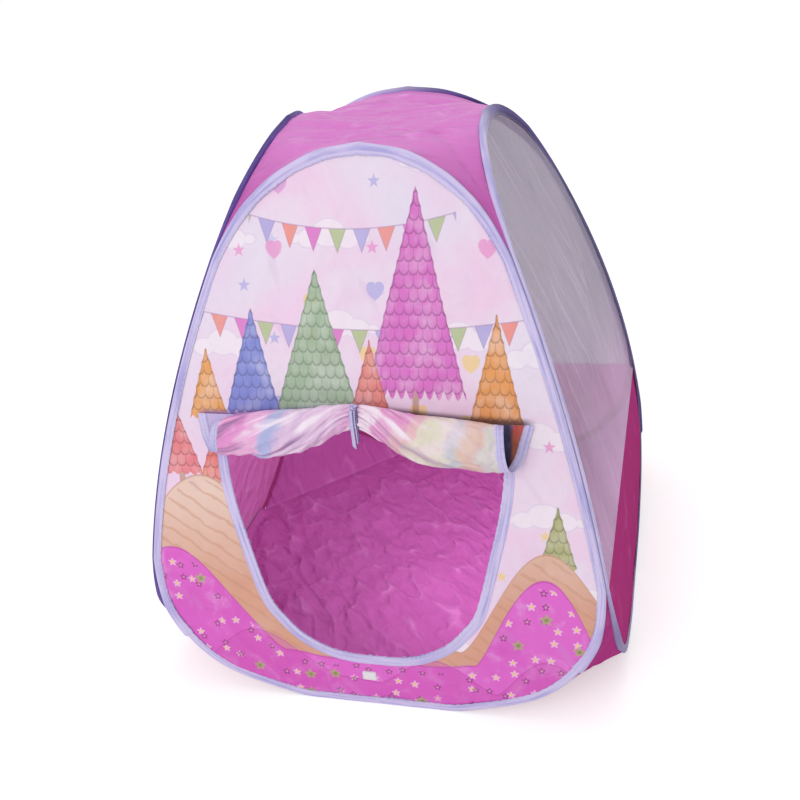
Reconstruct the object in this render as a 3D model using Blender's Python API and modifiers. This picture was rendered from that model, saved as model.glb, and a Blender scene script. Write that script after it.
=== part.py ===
"""A child's pop-up play tent.

Four egg-shaped loops of sprung steel wire stand in a square, each sewn into a tape sleeve with
its own panel, and meet along the four corners. A crown closes the gap between their tops and
four gussets and a groundsheet close the gap between their feet. The front panel has a U-shaped
doorway whose flap is rolled up and tied.

The panels are drawn flat, as the maker cuts them, and each flat piece is then laid on the curved
face of its side of the tent. In the flat, X is breadth, Y is height out of the cloth and Z is
height above the ground.
"""

import math

import bmesh
import bpy
from mathutils import Matrix, Vector

# Overall form, in metres. The half widths run from the tent's middle to the face of a panel.
TENT_HEIGHT = 0.798
BASE_HALF = 0.360
WAIST_HALF = 0.3023
TOP_HALF = 0.148

# Clearance between sewn or touching pieces, and how far a cutter runs past what it cuts.
SEAT_GAP = 0.0003
OVERRUN = 0.004

# Wire, ferrule and tape sleeve of a loop
WIRE_RADIUS = 0.0011
FERRULE_BORE_GAP = 0.0003
FERRULE_WALL = 0.00035
FERRULE_LENGTH = 0.026
WIRE_END_GAP = 0.0012
SLEEVE_WALL = 0.00062
SLEEVE_LEG = 0.0125
SLEEVE_SLOT_HALF = 0.0008
LOOP_STEPS = 24

# Cloth
PANEL_CLOTH = 0.0009
CROWN_CLOTH = 0.0010
FLOOR_CLOTH = 0.0012
BAND_SEAM_HEIGHT = 0.2227

# Loop outline. Each pair is a share of the base's half width and a share of the height. Between
# the foot and the arch the loop follows the corner, so only shares of the height are given.
FOOT_SHARES = ((0.0, 0.0), (0.20, 0.0), (0.38, 0.006), (0.695, 0.058), (0.885, 0.162))
CORNER_HEIGHT_SHARES = (0.285, 0.38, 0.475, 0.57, 0.665, 0.76, 0.83)
ARCH_SHARES = ((0.464, 0.902), (0.325, 0.955), (0.165, 0.9885), (0.0, 1.0))

# Doorway, its binding and the closure patch below it
DOOR_FOOT_HEIGHT = 0.0755
DOOR_TOP_HEIGHT = 0.446
DOOR_HALF_WIDTH = 0.214
DOOR_SIDE_SHARES = (
    (1.0, 1.0), (1.0, 0.84), (0.967, 0.69), (0.902, 0.525), (0.79, 0.275), (0.67, 0.165),
    (0.535, 0.085), (0.35, 0.026), (0.17, 0.003), (0.0, 0.0),
)
DOOR_BINDING_WIDTH = 0.0145
DOOR_BINDING_WALL = 0.0006
PATCH_WIDTH = 0.021
PATCH_HEIGHT = 0.0145
PATCH_THICKNESS = 0.0008
PATCH_OFF_CENTRE = -0.012

# Door flap, drawn flat from its seam downwards: shares of its half width and of its length
FLAP_SEAM_HEIGHT = 0.4585
FLAP_HALF_WIDTH = 0.240
FLAP_LENGTH = 0.405
FLAP_CLOTH = 0.0006
FLAP_SIDE_SHARES = (
    (1.0, 0.0), (0.945, 0.10), (0.885, 0.19), (0.855, 0.31), (0.815, 0.47), (0.705, 0.70),
    (0.50, 0.86), (0.26, 0.96), (0.09, 1.0),
)
FLAP_BINDING_WIDTH = 0.010
FLAP_BINDING_THICKNESS = 0.0014

# The roll that the flap makes. Its section is a spiral that starts behind the roll and runs
# under it, up its front and in. The tie squeezes it at the middle, up towards its top.
ROLL_STANDOFF = 0.0048
ROLL_HALF_DEPTH = 0.0225
ROLL_HALF_HEIGHT = 0.0325
ROLL_CORE_SHARE = 0.25
ROLL_TOP_HEIGHT = 0.4700
ROLL_STEP_DEG = 30.0
TIE_SQUEEZE_SHARE = 0.50
TIE_SQUEEZE_REACH = 0.073
TIE_TURN_DEG = 35.0
TIE_LIFT = 0.012
TIE_LIFT_REACH = 0.12
ROLL_SLACK_SHARE = 0.07
ROLL_CUT_SHARES = (0.07, 0.17, 0.29, 0.45, 0.66, 0.84)

# Ribbon tie. Angles are wound along the flap, from the roll's back, under it and up its front.
TIE_WIDTH = 0.0075
TIE_THICKNESS = 0.0008
TIE_SEWN_OUT = 0.0019
TIE_SEWN_RISE = 0.0010
TIE_OVER_DEG = 330.0
KNOT_ANGLE_DEG = 195.0
KNOT_WIDTH = 0.0125
KNOT_DEPTH = 0.0075
KNOT_HEIGHT = 0.0105
TAIL_WIDTH = 0.0055
TAIL_THICKNESS = 0.0008
TAIL_FRONT_DEGS = (90.0, 120.0, 150.0, 180.0)
TAIL_HANG_SHARES = ((0.0, 0.0), (0.5, 0.10), (0.9, 0.26), (1.0, 0.5), (0.96, 0.75), (1.0, 1.0))
TAIL_LENGTHS = {"tie_tail_left": 0.058, "tie_tail_right": 0.049}
TAIL_SPREAD_SHARES = {"tie_tail_left": -0.30, "tie_tail_right": 0.32}

# Crown and gussets
CROWN_SAG = 0.009
CROWN_COLUMNS = 6
CROWN_RINGS = 3
GUSSET_COLUMNS = 5
GUSSET_LEAST_WIDTH = 0.0015
FLOOR_CORNER_SHARE = 0.36

SIDES = ("front", "right", "back", "left")
CORNERS = ("front_right", "back_right", "back_left", "front_left")

tent = None
cutters = None


def start_scene():
    """Empties the scene and makes one collection for the tent and one for its cutters."""
    global tent, cutters
    for old in list(bpy.data.objects):
        bpy.data.objects.remove(old)
    tent = bpy.data.collections.new("play_tent")
    cutters = bpy.data.collections.new("cutters")
    bpy.context.scene.collection.children.link(tent)
    bpy.context.scene.collection.children.link(cutters)


def make_material(name, colour, roughness, metallic=0.0, alpha=1.0):
    material = bpy.data.materials.new(name)
    material.use_nodes = True
    shader = material.node_tree.nodes["Principled BSDF"]
    shader.inputs["Base Color"].default_value = (*colour, 1.0)
    shader.inputs["Roughness"].default_value = roughness
    shader.inputs["Metallic"].default_value = metallic
    shader.inputs["Alpha"].default_value = alpha
    material.diffuse_color = (*colour, alpha)
    return material


# The tent's form

def half_width_at(height):
    """Distance from the tent's middle to a panel's face: a parabola through three half widths."""
    share = height / TENT_HEIGHT
    bow = 2 * (BASE_HALF + TOP_HALF - 2 * WAIST_HALF)
    return BASE_HALF + (TOP_HALF - BASE_HALF - bow) * share + bow * share * share


def lean_at(height):
    """How far the panel's face leans in for each metre of height."""
    bow = 2 * (BASE_HALF + TOP_HALF - 2 * WAIST_HALF)
    return -(TOP_HALF - BASE_HALF - bow + 2 * bow * height / TENT_HEIGHT) / TENT_HEIGHT


def on_front(breadth, out, height):
    """The place in the tent of a point of the front panel that was drawn flat."""
    lean = lean_at(height)
    slope = math.hypot(1.0, lean)
    return Vector((breadth, -half_width_at(height) - out / slope, height + out * lean / slope))


def quarter_turns(side):
    return Matrix.Rotation(math.pi / 2 * side, 4, "Z")


def smooth_through(points, steps):
    """A smooth open curve through the points, by cubic spans with their own tangents."""
    ahead = [2 * a - b for a, b in zip(points[0], points[1])]
    behind = [2 * a - b for a, b in zip(points[-1], points[-2])]
    chain = [ahead, *points, behind]
    found = []
    for a, b, c, d in zip(chain, chain[1:], chain[2:], chain[3:]):
        for step in range(steps):
            t = step / steps
            found.append(tuple(
                q + 0.5 * t * ((r - p) + t * ((2 * p - 5 * q + 4 * r - s) + t * (3 * (q - r) + s - p)))
                for p, q, r, s in zip(a, b, c, d)
            ))
    return [*found, tuple(points[-1])]


def spaced_by_turn(points, count):
    """Picks count + 1 points of a fine curve, closer together where it turns more."""
    measure = [0.0]
    length = sum(math.dist(a, b) for a, b in zip(points, points[1:]))
    heading = None
    for a, b in zip(points, points[1:]):
        new_heading = math.atan2(b[1] - a[1], b[0] - a[0])
        turn = 0.0 if heading is None else abs(new_heading - heading)
        heading = new_heading
        measure.append(measure[-1] + math.dist(a, b) / length + turn / math.pi)
    picked = []
    for step in range(count + 1):
        wanted = measure[-1] * step / count
        nearest = min(range(len(points)), key=lambda i: abs(measure[i] - wanted))
        picked.append(points[nearest])
    return picked


def sleeve_profile():
    """The tape sleeve's section: out is away from the panel, and up is out of its face.

    The tape wraps the wire and ferrule, and its two legs hold the panel's edge between them.
    """
    hollow = WIRE_RADIUS + FERRULE_BORE_GAP + FERRULE_WALL + SEAT_GAP
    inner = [(-SLEEVE_LEG, SLEEVE_SLOT_HALF)]
    for degrees in (112.5, 67.5, 22.5):
        reach = hollow / math.cos(math.radians(22.5))
        angle = math.radians(degrees)
        inner.append((reach * math.cos(angle), reach * math.sin(angle)))
    outer = [(-SLEEVE_LEG, SLEEVE_SLOT_HALF + SLEEVE_WALL)]
    for degrees in (112.5, 67.5, 22.5):
        reach = (hollow + SLEEVE_WALL) / math.cos(math.radians(22.5))
        angle = math.radians(degrees)
        outer.append((reach * math.cos(angle), reach * math.sin(angle)))
    upper = [*outer]
    lower = [(out, -up) for out, up in reversed(outer)]
    inner_lower = [(out, -up) for out, up in inner]
    inner_upper = [*reversed(inner)]
    return [*upper, *lower, *inner_lower, *inner_upper]


SLEEVE = sleeve_profile()
SLEEVE_REACH = max(out for out, up in SLEEVE)
SLEEVE_HALF_THICKNESS = max(up for out, up in SLEEVE)
CORNER_INSET = max(out + up for out, up in SLEEVE) + SEAT_GAP / math.sqrt(2)


def half_loop():
    """The wire's centre line, from the middle of its foot round to its top, drawn flat."""
    low = SLEEVE_REACH
    rise = TENT_HEIGHT - low
    points = [(BASE_HALF * x, low + rise * z) for x, z in FOOT_SHARES]
    for share in CORNER_HEIGHT_SHARES:
        height = low + rise * share
        points.append((half_width_at(height) - CORNER_INSET, height))
    points += [(BASE_HALF * x, low + rise * z) for x, z in ARCH_SHARES]
    fine = smooth_through([(-BASE_HALF * FOOT_SHARES[1][0], low), *points], 24)[24:]
    fine = [(min(x, half_width_at(z) - CORNER_INSET), z) for x, z in fine]
    picked = spaced_by_turn(fine, LOOP_STEPS)
    return [(0.0, low), *picked[1:-1], (0.0, TENT_HEIGHT)]


HALF_LOOP = half_loop()
LOOP = [*HALF_LOOP, *[(-x, z) for x, z in reversed(HALF_LOOP[1:-1])]]
LEVELS = sorted({z for x, z in HALF_LOOP})


def offset_outline(points, distance):
    """A closed outline, running anticlockwise, moved inwards by a distance."""
    moved = []
    for before, here, after in zip([points[-1], *points[:-1]], points, [*points[1:], points[0]]):
        first = Vector((here[0] - before[0], here[1] - before[1])).normalized()
        second = Vector((after[0] - here[0], after[1] - here[1])).normalized()
        inward = Vector((-first.y - second.y, first.x + second.x)).normalized()
        reach = distance / max(inward.dot(Vector((-first.y, first.x))), 0.3)
        moved.append((here[0] + inward.x * reach, here[1] + inward.y * reach))
    return moved


# Making meshes

def add_object(name, mesh, material):
    thing = bpy.data.objects.new(name, mesh)
    tent.objects.link(thing)
    mesh.materials.clear()
    mesh.materials.append(material)
    return thing


def flat_curve(name, outlines, closed=True):
    """A 2D curve object through one or more outlines, each a list of (breadth, height)."""
    data = bpy.data.curves.new(name, "CURVE")
    data.dimensions = "2D"
    for outline in outlines:
        spline = data.splines.new("POLY")
        spline.points.add(len(outline) - 1)
        for point, (x, z) in zip(spline.points, outline):
            point.co = (x, z, 0.0, 1.0)
        spline.use_cyclic_u = closed
    curve = bpy.data.objects.new(name, data)
    cutters.objects.link(curve)
    return curve


def mesh_of(curve, merge):
    """The closed mesh that a curve object makes, with Y out of the cloth and Z up."""
    graph = bpy.context.evaluated_depsgraph_get()
    mesh = bpy.data.meshes.new_from_object(curve.evaluated_get(graph))
    name = curve.name
    bpy.data.objects.remove(curve)
    mesh.name = name
    work = bmesh.new()
    work.from_mesh(mesh)
    bmesh.ops.remove_doubles(work, verts=work.verts, dist=merge)
    for vert in work.verts:
        vert.co = Vector((vert.co.x, vert.co.z, vert.co.y))
    bmesh.ops.recalc_face_normals(work, faces=work.faces)
    work.to_mesh(mesh)
    work.free()
    return mesh


def cut_across(work, place, normal, drop=None):
    """Cuts a mesh at a plane. drop clears and closes the side ahead of or behind the plane."""
    geometry = [*work.verts, *work.edges, *work.faces]
    bmesh.ops.bisect_plane(
        work, geom=geometry, dist=SEAT_GAP * 0.01, plane_co=place, plane_no=normal,
        clear_outer=drop == "ahead", clear_inner=drop == "behind",
    )
    if drop:
        open_edges = [edge for edge in work.edges if edge.is_boundary]
        bmesh.ops.holes_fill(work, edges=open_edges)


def sheet_mesh(name, outlines, thickness, heights=(), breadths=(), above=None, below=None):
    """A flat sheet of cloth of even thickness, cut across wherever it will bend."""
    curve = flat_curve(name, outlines)
    curve.data.fill_mode = "BOTH"
    curve.data.extrude = thickness / 2
    mesh = mesh_of(curve, SEAT_GAP * 0.1)
    work = bmesh.new()
    work.from_mesh(mesh)
    bmesh.ops.dissolve_limit(work, angle_limit=0.0005, verts=work.verts, edges=work.edges)
    if above is not None:
        cut_across(work, (0, 0, above), (0, 0, 1), "behind")
    if below is not None:
        cut_across(work, (0, 0, below), (0, 0, 1), "ahead")
    for height in heights:
        cut_across(work, (0, 0, height), (0, 0, 1))
    for breadth in breadths:
        cut_across(work, (breadth, 0, 0), (1, 0, 0))
    bmesh.ops.recalc_face_normals(work, faces=work.faces)
    work.to_mesh(mesh)
    work.free()
    return mesh


def swept_mesh(name, path, profile, closed):
    """A profile carried along a flat path. Its first axis points out of a closed path, and out
    of the bend of an open path that runs clockwise."""
    section = flat_curve(name + "_section", [[(-out, up) for out, up in profile]])
    curve = flat_curve(name, [path], closed)
    curve.data.fill_mode = "NONE"
    curve.data.bevel_mode = "OBJECT"
    curve.data.bevel_object = section
    curve.data.use_fill_caps = not closed
    mesh = mesh_of(curve, SEAT_GAP * 0.1)
    bpy.data.objects.remove(section)
    return mesh


def face_outwards(mesh):
    work = bmesh.new()
    work.from_mesh(mesh)
    bmesh.ops.recalc_face_normals(work, faces=work.faces)
    if work.calc_volume(signed=True) < 0:
        bmesh.ops.reverse_faces(work, faces=work.faces)
    work.to_mesh(mesh)
    work.free()


def lay(mesh, side=0, wrap=on_front):
    """Moves a flat mesh to its place on the curved face of one side of the tent."""
    for vert in mesh.vertices:
        vert.co = quarter_turns(side) @ wrap(*vert.co)
    face_outwards(mesh)
    return mesh


def smooth(thing, degrees=40):
    thing.data.shade_smooth()
    thing.data.set_sharp_from_angle(angle=math.radians(degrees))
    return thing


# The loops

def wire_mesh(name):
    """One length of sprung wire whose ends meet in the ferrule at the middle of the foot."""
    low = HALF_LOOP[0][1]
    start = (WIRE_END_GAP / 2, low)
    end = (-WIRE_END_GAP / 2, low)
    curve = flat_curve(name, [[start, *LOOP[1:], end]], closed=False)
    curve.data.fill_mode = "NONE"
    curve.data.bevel_depth = WIRE_RADIUS
    curve.data.bevel_resolution = 1
    curve.data.use_fill_caps = True
    return mesh_of(curve, SEAT_GAP * 0.1)


def ferrule(name, side, material):
    """A crimped tube over the wire's two ends: a turned wall about the wire's own axis."""
    bore = WIRE_RADIUS + FERRULE_BORE_GAP
    rim = bore + FERRULE_WALL
    half = FERRULE_LENGTH / 2
    mesh = bpy.data.meshes.new(name)
    corners = [(rim, 0, half), (rim, 0, -half), (bore, 0, -half), (bore, 0, half)]
    mesh.from_pydata(corners, [(0, 1), (1, 2), (2, 3), (3, 0)], [])
    thing = add_object(name, mesh, material)
    turn = thing.modifiers.new("turned", "SCREW")
    turn.steps = 12
    turn.render_steps = 12
    turn.use_merge_vertices = True
    turn.merge_threshold = SEAT_GAP * 0.1
    turn.use_smooth_shade = True
    lying = Matrix.Rotation(math.pi / 2, 4, "Y")
    place = Matrix.Translation(on_front(0.0, 0.0, HALF_LOOP[0][1]))
    thing.matrix_world = quarter_turns(side) @ place @ lying
    return thing


def build_loop(side, steel, crimp, tape):
    name = SIDES[side]
    wire = add_object(f"{name}_wire_loop", lay(wire_mesh(f"{name}_wire_loop"), side), steel)
    joint = ferrule(f"{name}_wire_ferrule", side, crimp)
    sleeve = swept_mesh(f"{name}_loop_sleeve", LOOP, SLEEVE, closed=True)
    cover = add_object(f"{name}_loop_sleeve", lay(sleeve, side), tape)
    return [smooth(wire), joint, smooth(cover)]


# The panels

PANEL_EDGE = offset_outline(LOOP, WIRE_RADIUS + FERRULE_BORE_GAP + FERRULE_WALL + SEAT_GAP)


def door_outline(outwards=0.0):
    """The doorway's edge from its top right corner, down and round to its top left corner."""
    rise = DOOR_TOP_HEIGHT - DOOR_FOOT_HEIGHT
    right = [(DOOR_HALF_WIDTH * x, DOOR_FOOT_HEIGHT + rise * z) for x, z in DOOR_SIDE_SHARES]
    fine = smooth_through(right, 2)
    edge = [*fine, *[(-x, z) for x, z in reversed(fine[:-1])]]
    moved = offset_outline(list(reversed(edge)), -outwards)
    return list(reversed(moved)) if outwards else edge


def front_panel(material):
    """The printed panel, with the doorway cut out of it behind the binding's edge."""
    mesh = sheet_mesh("front_panel", [PANEL_EDGE], PANEL_CLOTH, LEVELS[1:-1])
    panel = add_object("front_panel", mesh, material)
    edge = door_outline()
    opening = sheet_mesh("doorway", [edge], OVERRUN * 2)
    cutter = bpy.data.objects.new("doorway", opening)
    cutters.objects.link(cutter)
    cut = panel.modifiers.new("doorway", "BOOLEAN")
    cut.operation = "DIFFERENCE"
    cut.object = cutter
    graph = bpy.context.evaluated_depsgraph_get()
    finished = bpy.data.meshes.new_from_object(panel.evaluated_get(graph))
    panel.modifiers.clear()
    bpy.data.objects.remove(cutter)
    finished.name = "front_panel"
    panel.data = lay(finished)
    return panel


def door_binding(material):
    """Tape folded over the doorway's edge from the flap's seam down and round to the seam."""
    edge = [(x, z) for x, z in door_outline() if z < FLAP_SEAM_HEIGHT]
    slot = PANEL_CLOTH / 2 + SEAT_GAP
    wall = DOOR_BINDING_WALL
    legs = DOOR_BINDING_WIDTH
    lip = SEAT_GAP + wall
    profile = [
        (legs, slot + wall), (-lip, slot + wall), (-lip, -slot - wall), (legs, -slot - wall),
        (legs, -slot), (-SEAT_GAP, -slot), (-SEAT_GAP, slot), (legs, slot),
    ]
    mesh = swept_mesh("door_binding", edge, profile, closed=False)
    work = bmesh.new()
    work.from_mesh(mesh)
    cut_across(work, (0, 0, DOOR_TOP_HEIGHT - SEAT_GAP), (0, 0, 1), "ahead")
    for height in LEVELS:
        cut_across(work, (0, 0, height), (0, 0, 1))
    bmesh.ops.recalc_face_normals(work, faces=work.faces)
    work.to_mesh(mesh)
    work.free()
    return smooth(add_object("door_binding", lay(mesh), material))


def closure_patch(material):
    """The hook-and-loop patch on the front panel, just below the doorway's binding."""
    top = DOOR_FOOT_HEIGHT - DOOR_BINDING_WIDTH - SEAT_GAP
    left = PATCH_OFF_CENTRE - PATCH_WIDTH / 2
    right = PATCH_OFF_CENTRE + PATCH_WIDTH / 2
    corners = [(left, top - PATCH_HEIGHT), (right, top - PATCH_HEIGHT), (right, top), (left, top)]
    mesh = sheet_mesh("closure_patch", [corners], PATCH_THICKNESS, LEVELS)
    out = PANEL_CLOTH / 2 + SEAT_GAP + PATCH_THICKNESS / 2
    mesh.transform(Matrix.Translation((0, out, 0)))
    return add_object("closure_patch", lay(mesh), material)


def side_panels(side, net, cloth):
    """A net panel over a solid band, which meet at the band's seam."""
    name = SIDES[side]
    upper = sheet_mesh(
        f"{name}_net_panel", [PANEL_EDGE], PANEL_CLOTH, LEVELS[1:-1],
        above=BAND_SEAM_HEIGHT + SEAT_GAP / 2,
    )
    lower = sheet_mesh(
        f"{name}_lower_band", [PANEL_EDGE], PANEL_CLOTH, LEVELS[1:-1],
        below=BAND_SEAM_HEIGHT - SEAT_GAP / 2,
    )
    return [
        add_object(f"{name}_net_panel", lay(upper, side), net),
        add_object(f"{name}_lower_band", lay(lower, side), cloth),
    ]


# Crown, gussets and groundsheet, which span from loop to loop

def sleeve_reach_across(index, clearance):
    """How far cloth that runs to the next loop round the corner starts from the wire."""
    before = LOOP[index - 1]
    after = LOOP[(index + 1) % len(LOOP)]
    along = Vector((after[0] - before[0], after[1] - before[1])).normalized()
    lean = lean_at(LOOP[index][1])
    tangent = Vector((along.x, along.y * lean, along.y)).normalized()
    face = Vector((0.0, -1.0, lean)).normalized()
    away = tangent.cross(face)
    across = Vector((1.0, 1.0, 0.0)).normalized()
    square_on = across - tangent * across.dot(tangent)
    heading = square_on.normalized()
    reach = max(out * away.dot(heading) + up * face.dot(heading) for out, up in SLEEVE)
    return (reach + clearance) / square_on.length


def span_ends(index, cloth):
    """Where cloth between the front and right loops meets their sleeves, at one loop point."""
    breadth, height = LOOP[index]
    margin = sleeve_reach_across(index, SEAT_GAP + cloth / 2) / math.sqrt(2)
    foot = on_front(breadth, 0.0, height)
    near = Vector((foot.x + margin, foot.y + margin, foot.z))
    far = Vector((-near.y, -near.x, near.z))
    return near, far


def width_between(near, far):
    return (far - near).dot(Vector((1.0, 1.0, 0.0)).normalized())


def spans(indices, cloth):
    """The ends of the spans at some loop points, and of the narrow one where the gap closes."""
    wide = []
    for index in indices:
        near, far = span_ends(index, cloth)
        width = width_between(near, far)
        if width > GUSSET_LEAST_WIDTH:
            wide.append((near, far))
            continue
        last_near, last_far = wide[-1]
        last_width = width_between(last_near, last_far)
        share = (last_width - GUSSET_LEAST_WIDTH) / (last_width - width)
        wide.append((last_near.lerp(near, share), last_far.lerp(far, share)))
        break
    return wide


def span_rows(ends, columns, sag):
    """Rows of points from the front loop to the right loop, sagging between them."""
    widest = max(width_between(near, far) for near, far in ends)
    rows = []
    for near, far in ends:
        drop = sag * width_between(near, far) / widest
        row = []
        for column in range(columns + 1):
            share = column / columns
            middle = near.lerp(far, share)
            inward = Vector((-middle.x, -middle.y, 0.0)).normalized()
            hang = drop * math.sin(math.pi * share)
            row.append(middle + inward * hang * 0.5 + Vector((0, 0, -hang * 0.6)))
        rows.append(row)
    return rows


def grid_faces(work, rows):
    """Joins rows of points into faces."""
    verts = [[work.verts.new(point) for point in row] for row in rows]
    for lower, upper in zip(verts, verts[1:]):
        for a, b, c, d in zip(lower, lower[1:], upper[1:], upper):
            work.faces.new((a, b, c, d))


def thicken(thing, thickness):
    wall = thing.modifiers.new("cloth", "SOLIDIFY")
    wall.thickness = thickness
    wall.offset = 0.0
    return thing


def loft_object(name, work, material, thickness):
    bmesh.ops.remove_doubles(work, verts=work.verts, dist=SEAT_GAP * 0.1)
    bmesh.ops.recalc_face_normals(work, faces=work.faces)
    mesh = bpy.data.meshes.new(name)
    work.to_mesh(mesh)
    work.free()
    return thicken(smooth(add_object(name, mesh, material), 60), thickness)


def crown(material):
    """Cloth over the gap between the four arches: a sagging top and a tapering leg at each
    corner, which ends where the two loops come together."""
    downwards = range(LOOP_STEPS, 0, -1)
    rows = span_rows(spans(downwards, CROWN_CLOTH), CROWN_COLUMNS, CROWN_SAG)
    rows.reverse()
    peak = Vector((0.0, rows[-1][0].y, rows[-1][0].z))
    turned_peak = Vector((-peak.y, 0.0, peak.z))
    rows[-1][0] = peak
    rows[-1][-1] = turned_peak
    work = bmesh.new()
    for side in range(len(SIDES)):
        turn = quarter_turns(side)
        grid_faces(work, [[turn @ point for point in row] for row in rows])
        rings = []
        for ring in range(CROWN_RINGS):
            share = 1 - ring / CROWN_RINGS
            sag = CROWN_SAG * math.cos(math.pi / 2 * share) * 0.8
            rings.append([
                turn @ Vector((p.x * share, p.y * share, p.z + (peak.z - p.z) * (1 - share) - sag))
                for p in rows[-1]
            ])
        grid_faces(work, rings)
        middle = Vector((0.0, 0.0, peak.z - CROWN_SAG * 0.8))
        for a, b in zip(rings[-1], rings[-1][1:]):
            work.faces.new([work.verts.new(p) for p in (a, b, middle)])
    return loft_object("crown", work, material, CROWN_CLOTH)


FLOOR_EDGE = half_width_at(SLEEVE_REACH) - SLEEVE_HALF_THICKNESS - SEAT_GAP


def floor_corner():
    """The loop point at which the groundsheet's side ends and its cut corner starts."""
    wanted = FLOOR_CORNER_SHARE * BASE_HALF
    return min(range(1, LOOP_STEPS // 3), key=lambda i: abs(LOOP[i][0] - wanted))


def groundsheet(material):
    """The floor: flat on the ground, with its corners cut off where the gussets rise."""
    corner = LOOP[floor_corner()][0]
    points = []
    for side in range(len(SIDES)):
        for x, y in ((-corner, -FLOOR_EDGE), (corner, -FLOOR_EDGE)):
            place = quarter_turns(side) @ Vector((x, y, 0.0))
            points.append((place.x, place.y))
    curve = flat_curve("groundsheet", [points])
    curve.data.fill_mode = "BOTH"
    curve.data.extrude = FLOOR_CLOTH / 2
    mesh = mesh_of(curve, SEAT_GAP * 0.1)
    for vert in mesh.vertices:
        vert.co = Vector((vert.co.x, vert.co.z, vert.co.y + FLOOR_CLOTH / 2))
    face_outwards(mesh)
    return add_object("groundsheet", mesh, material)


def corner_gusset(corner, material):
    """A triangle of cloth from the floor's cut corner up to where two loops come together."""
    start = floor_corner()
    upwards = range(start + 1, LOOP_STEPS)
    rows = span_rows(spans(upwards, PANEL_CLOTH), GUSSET_COLUMNS, 0.0)
    edge = FLOOR_EDGE - PANEL_CLOTH / 2
    clear = (SEAT_GAP + PANEL_CLOTH / 2) * math.sqrt(2) + PANEL_CLOTH / 2
    near = Vector((LOOP[start][0] + clear, -edge, FLOOR_CLOTH / 2))
    far = Vector((edge, -LOOP[start][0] - clear, FLOOR_CLOTH / 2))
    first = [near.lerp(far, column / GUSSET_COLUMNS) for column in range(GUSSET_COLUMNS + 1)]
    work = bmesh.new()
    turn = quarter_turns(corner)
    grid_faces(work, [[turn @ point for point in row] for row in [first, *rows]])
    return loft_object(f"{CORNERS[corner]}_gusset", work, material, PANEL_CLOTH)


# The rolled door flap

ROLL_MEAN = (ROLL_HALF_DEPTH + ROLL_HALF_HEIGHT) / 2
ROLL_CENTRE_HEIGHT = ROLL_TOP_HEIGHT - ROLL_HALF_HEIGHT
ROLL_HANG = FLAP_SEAM_HEIGHT - ROLL_CENTRE_HEIGHT
ROLL_WOUND = FLAP_LENGTH - ROLL_HANG
ROLL_TURN = 2 * ROLL_WOUND / (ROLL_MEAN * (1 + ROLL_CORE_SHARE))
ROLL_CLOSING = (1 - ROLL_CORE_SHARE) / ROLL_TURN


def squeeze_at(breadth):
    """How large the roll's section is at a breadth: small under the tie, looser to the right."""
    waist = 1 - TIE_SQUEEZE_SHARE * math.exp(-((breadth / TIE_SQUEEZE_REACH) ** 2))
    return waist * (1 + ROLL_SLACK_SHARE * breadth / FLAP_HALF_WIDTH)


def roll_angle(down):
    """The angle wound at a distance down the flap from its seam. It starts behind the roll."""
    wound = max(down - ROLL_HANG, 0.0)
    return (1 - math.sqrt(1 - 2 * ROLL_CLOSING * wound / ROLL_MEAN)) / ROLL_CLOSING


def roll_section(breadth, down):
    """Place and outward direction, as (out, height), of the flap at a distance from its seam.

    The tie lifts the roll above the seam, so there the flap joins it further round its foot.
    """
    scale = squeeze_at(breadth)
    tied = math.exp(-((breadth / TIE_SQUEEZE_REACH) ** 2))
    lift = TIE_LIFT * math.exp(-((breadth / TIE_LIFT_REACH) ** 2))
    centre_out = ROLL_STANDOFF + ROLL_HALF_DEPTH * scale
    centre_height = ROLL_TOP_HEIGHT + lift - ROLL_HALF_HEIGHT * scale
    wound = roll_angle(down)
    left = scale * (1 - ROLL_CLOSING * wound)
    angle = wound + math.radians(TIE_TURN_DEG) * tied
    place = Vector((
        centre_out - ROLL_HALF_DEPTH * left * math.cos(angle),
        centre_height - ROLL_HALF_HEIGHT * left * math.sin(angle),
    ))
    facing = Vector((
        -ROLL_HALF_HEIGHT * math.cos(angle), -ROLL_HALF_DEPTH * math.sin(angle),
    )).normalized()
    if down < ROLL_HANG:
        seam = Vector((PANEL_CLOTH / 2 + SEAT_GAP + FLAP_BINDING_THICKNESS / 2, FLAP_SEAM_HEIGHT))
        place = seam.lerp(place, down / ROLL_HANG)
    return place, facing


def roll_downs():
    """Distances down from the seam where the flap is cut, so that it bends by equal angles."""
    downs = [0.0, ROLL_HANG]
    step = 1
    while downs[-1] < FLAP_LENGTH + FLAP_BINDING_WIDTH:
        angle = math.radians(ROLL_STEP_DEG) * step
        downs.append(ROLL_HANG + ROLL_MEAN * angle * (1 - ROLL_CLOSING * angle / 2))
        step += 1
    return downs


def roll_breadths():
    """Where the flap is cut from seam to foot, so that it narrows towards the tie."""
    inner = [sign * FLAP_HALF_WIDTH * share for share in ROLL_CUT_SHARES for sign in (-1, 1)]
    end = FLAP_HALF_WIDTH + FLAP_BINDING_WIDTH
    return sorted([-end, *inner, end])


def roll_heights():
    return [FLAP_SEAM_HEIGHT - down for down in roll_downs()[1:-1]]


def bracket(values, wanted):
    """The two neighbours in a rising list round a value, and its share of the way between."""
    for low, high in zip(values, values[1:]):
        if wanted <= high:
            break
    return low, high, (wanted - low) / (high - low)


def on_roll(breadth, out, down):
    """The (out, height) place of a point of the flap, straight between the flap's own cuts."""
    left, right, across = bracket(roll_breadths(), breadth)
    upper, lower, along = bracket(roll_downs(), down)
    ends = []
    for place_across in (left, right):
        above, above_facing = roll_section(place_across, upper)
        below, below_facing = roll_section(place_across, lower)
        ends.append((above + above_facing * out).lerp(below + below_facing * out, along))
    return ends[0].lerp(ends[1], across)


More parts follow.
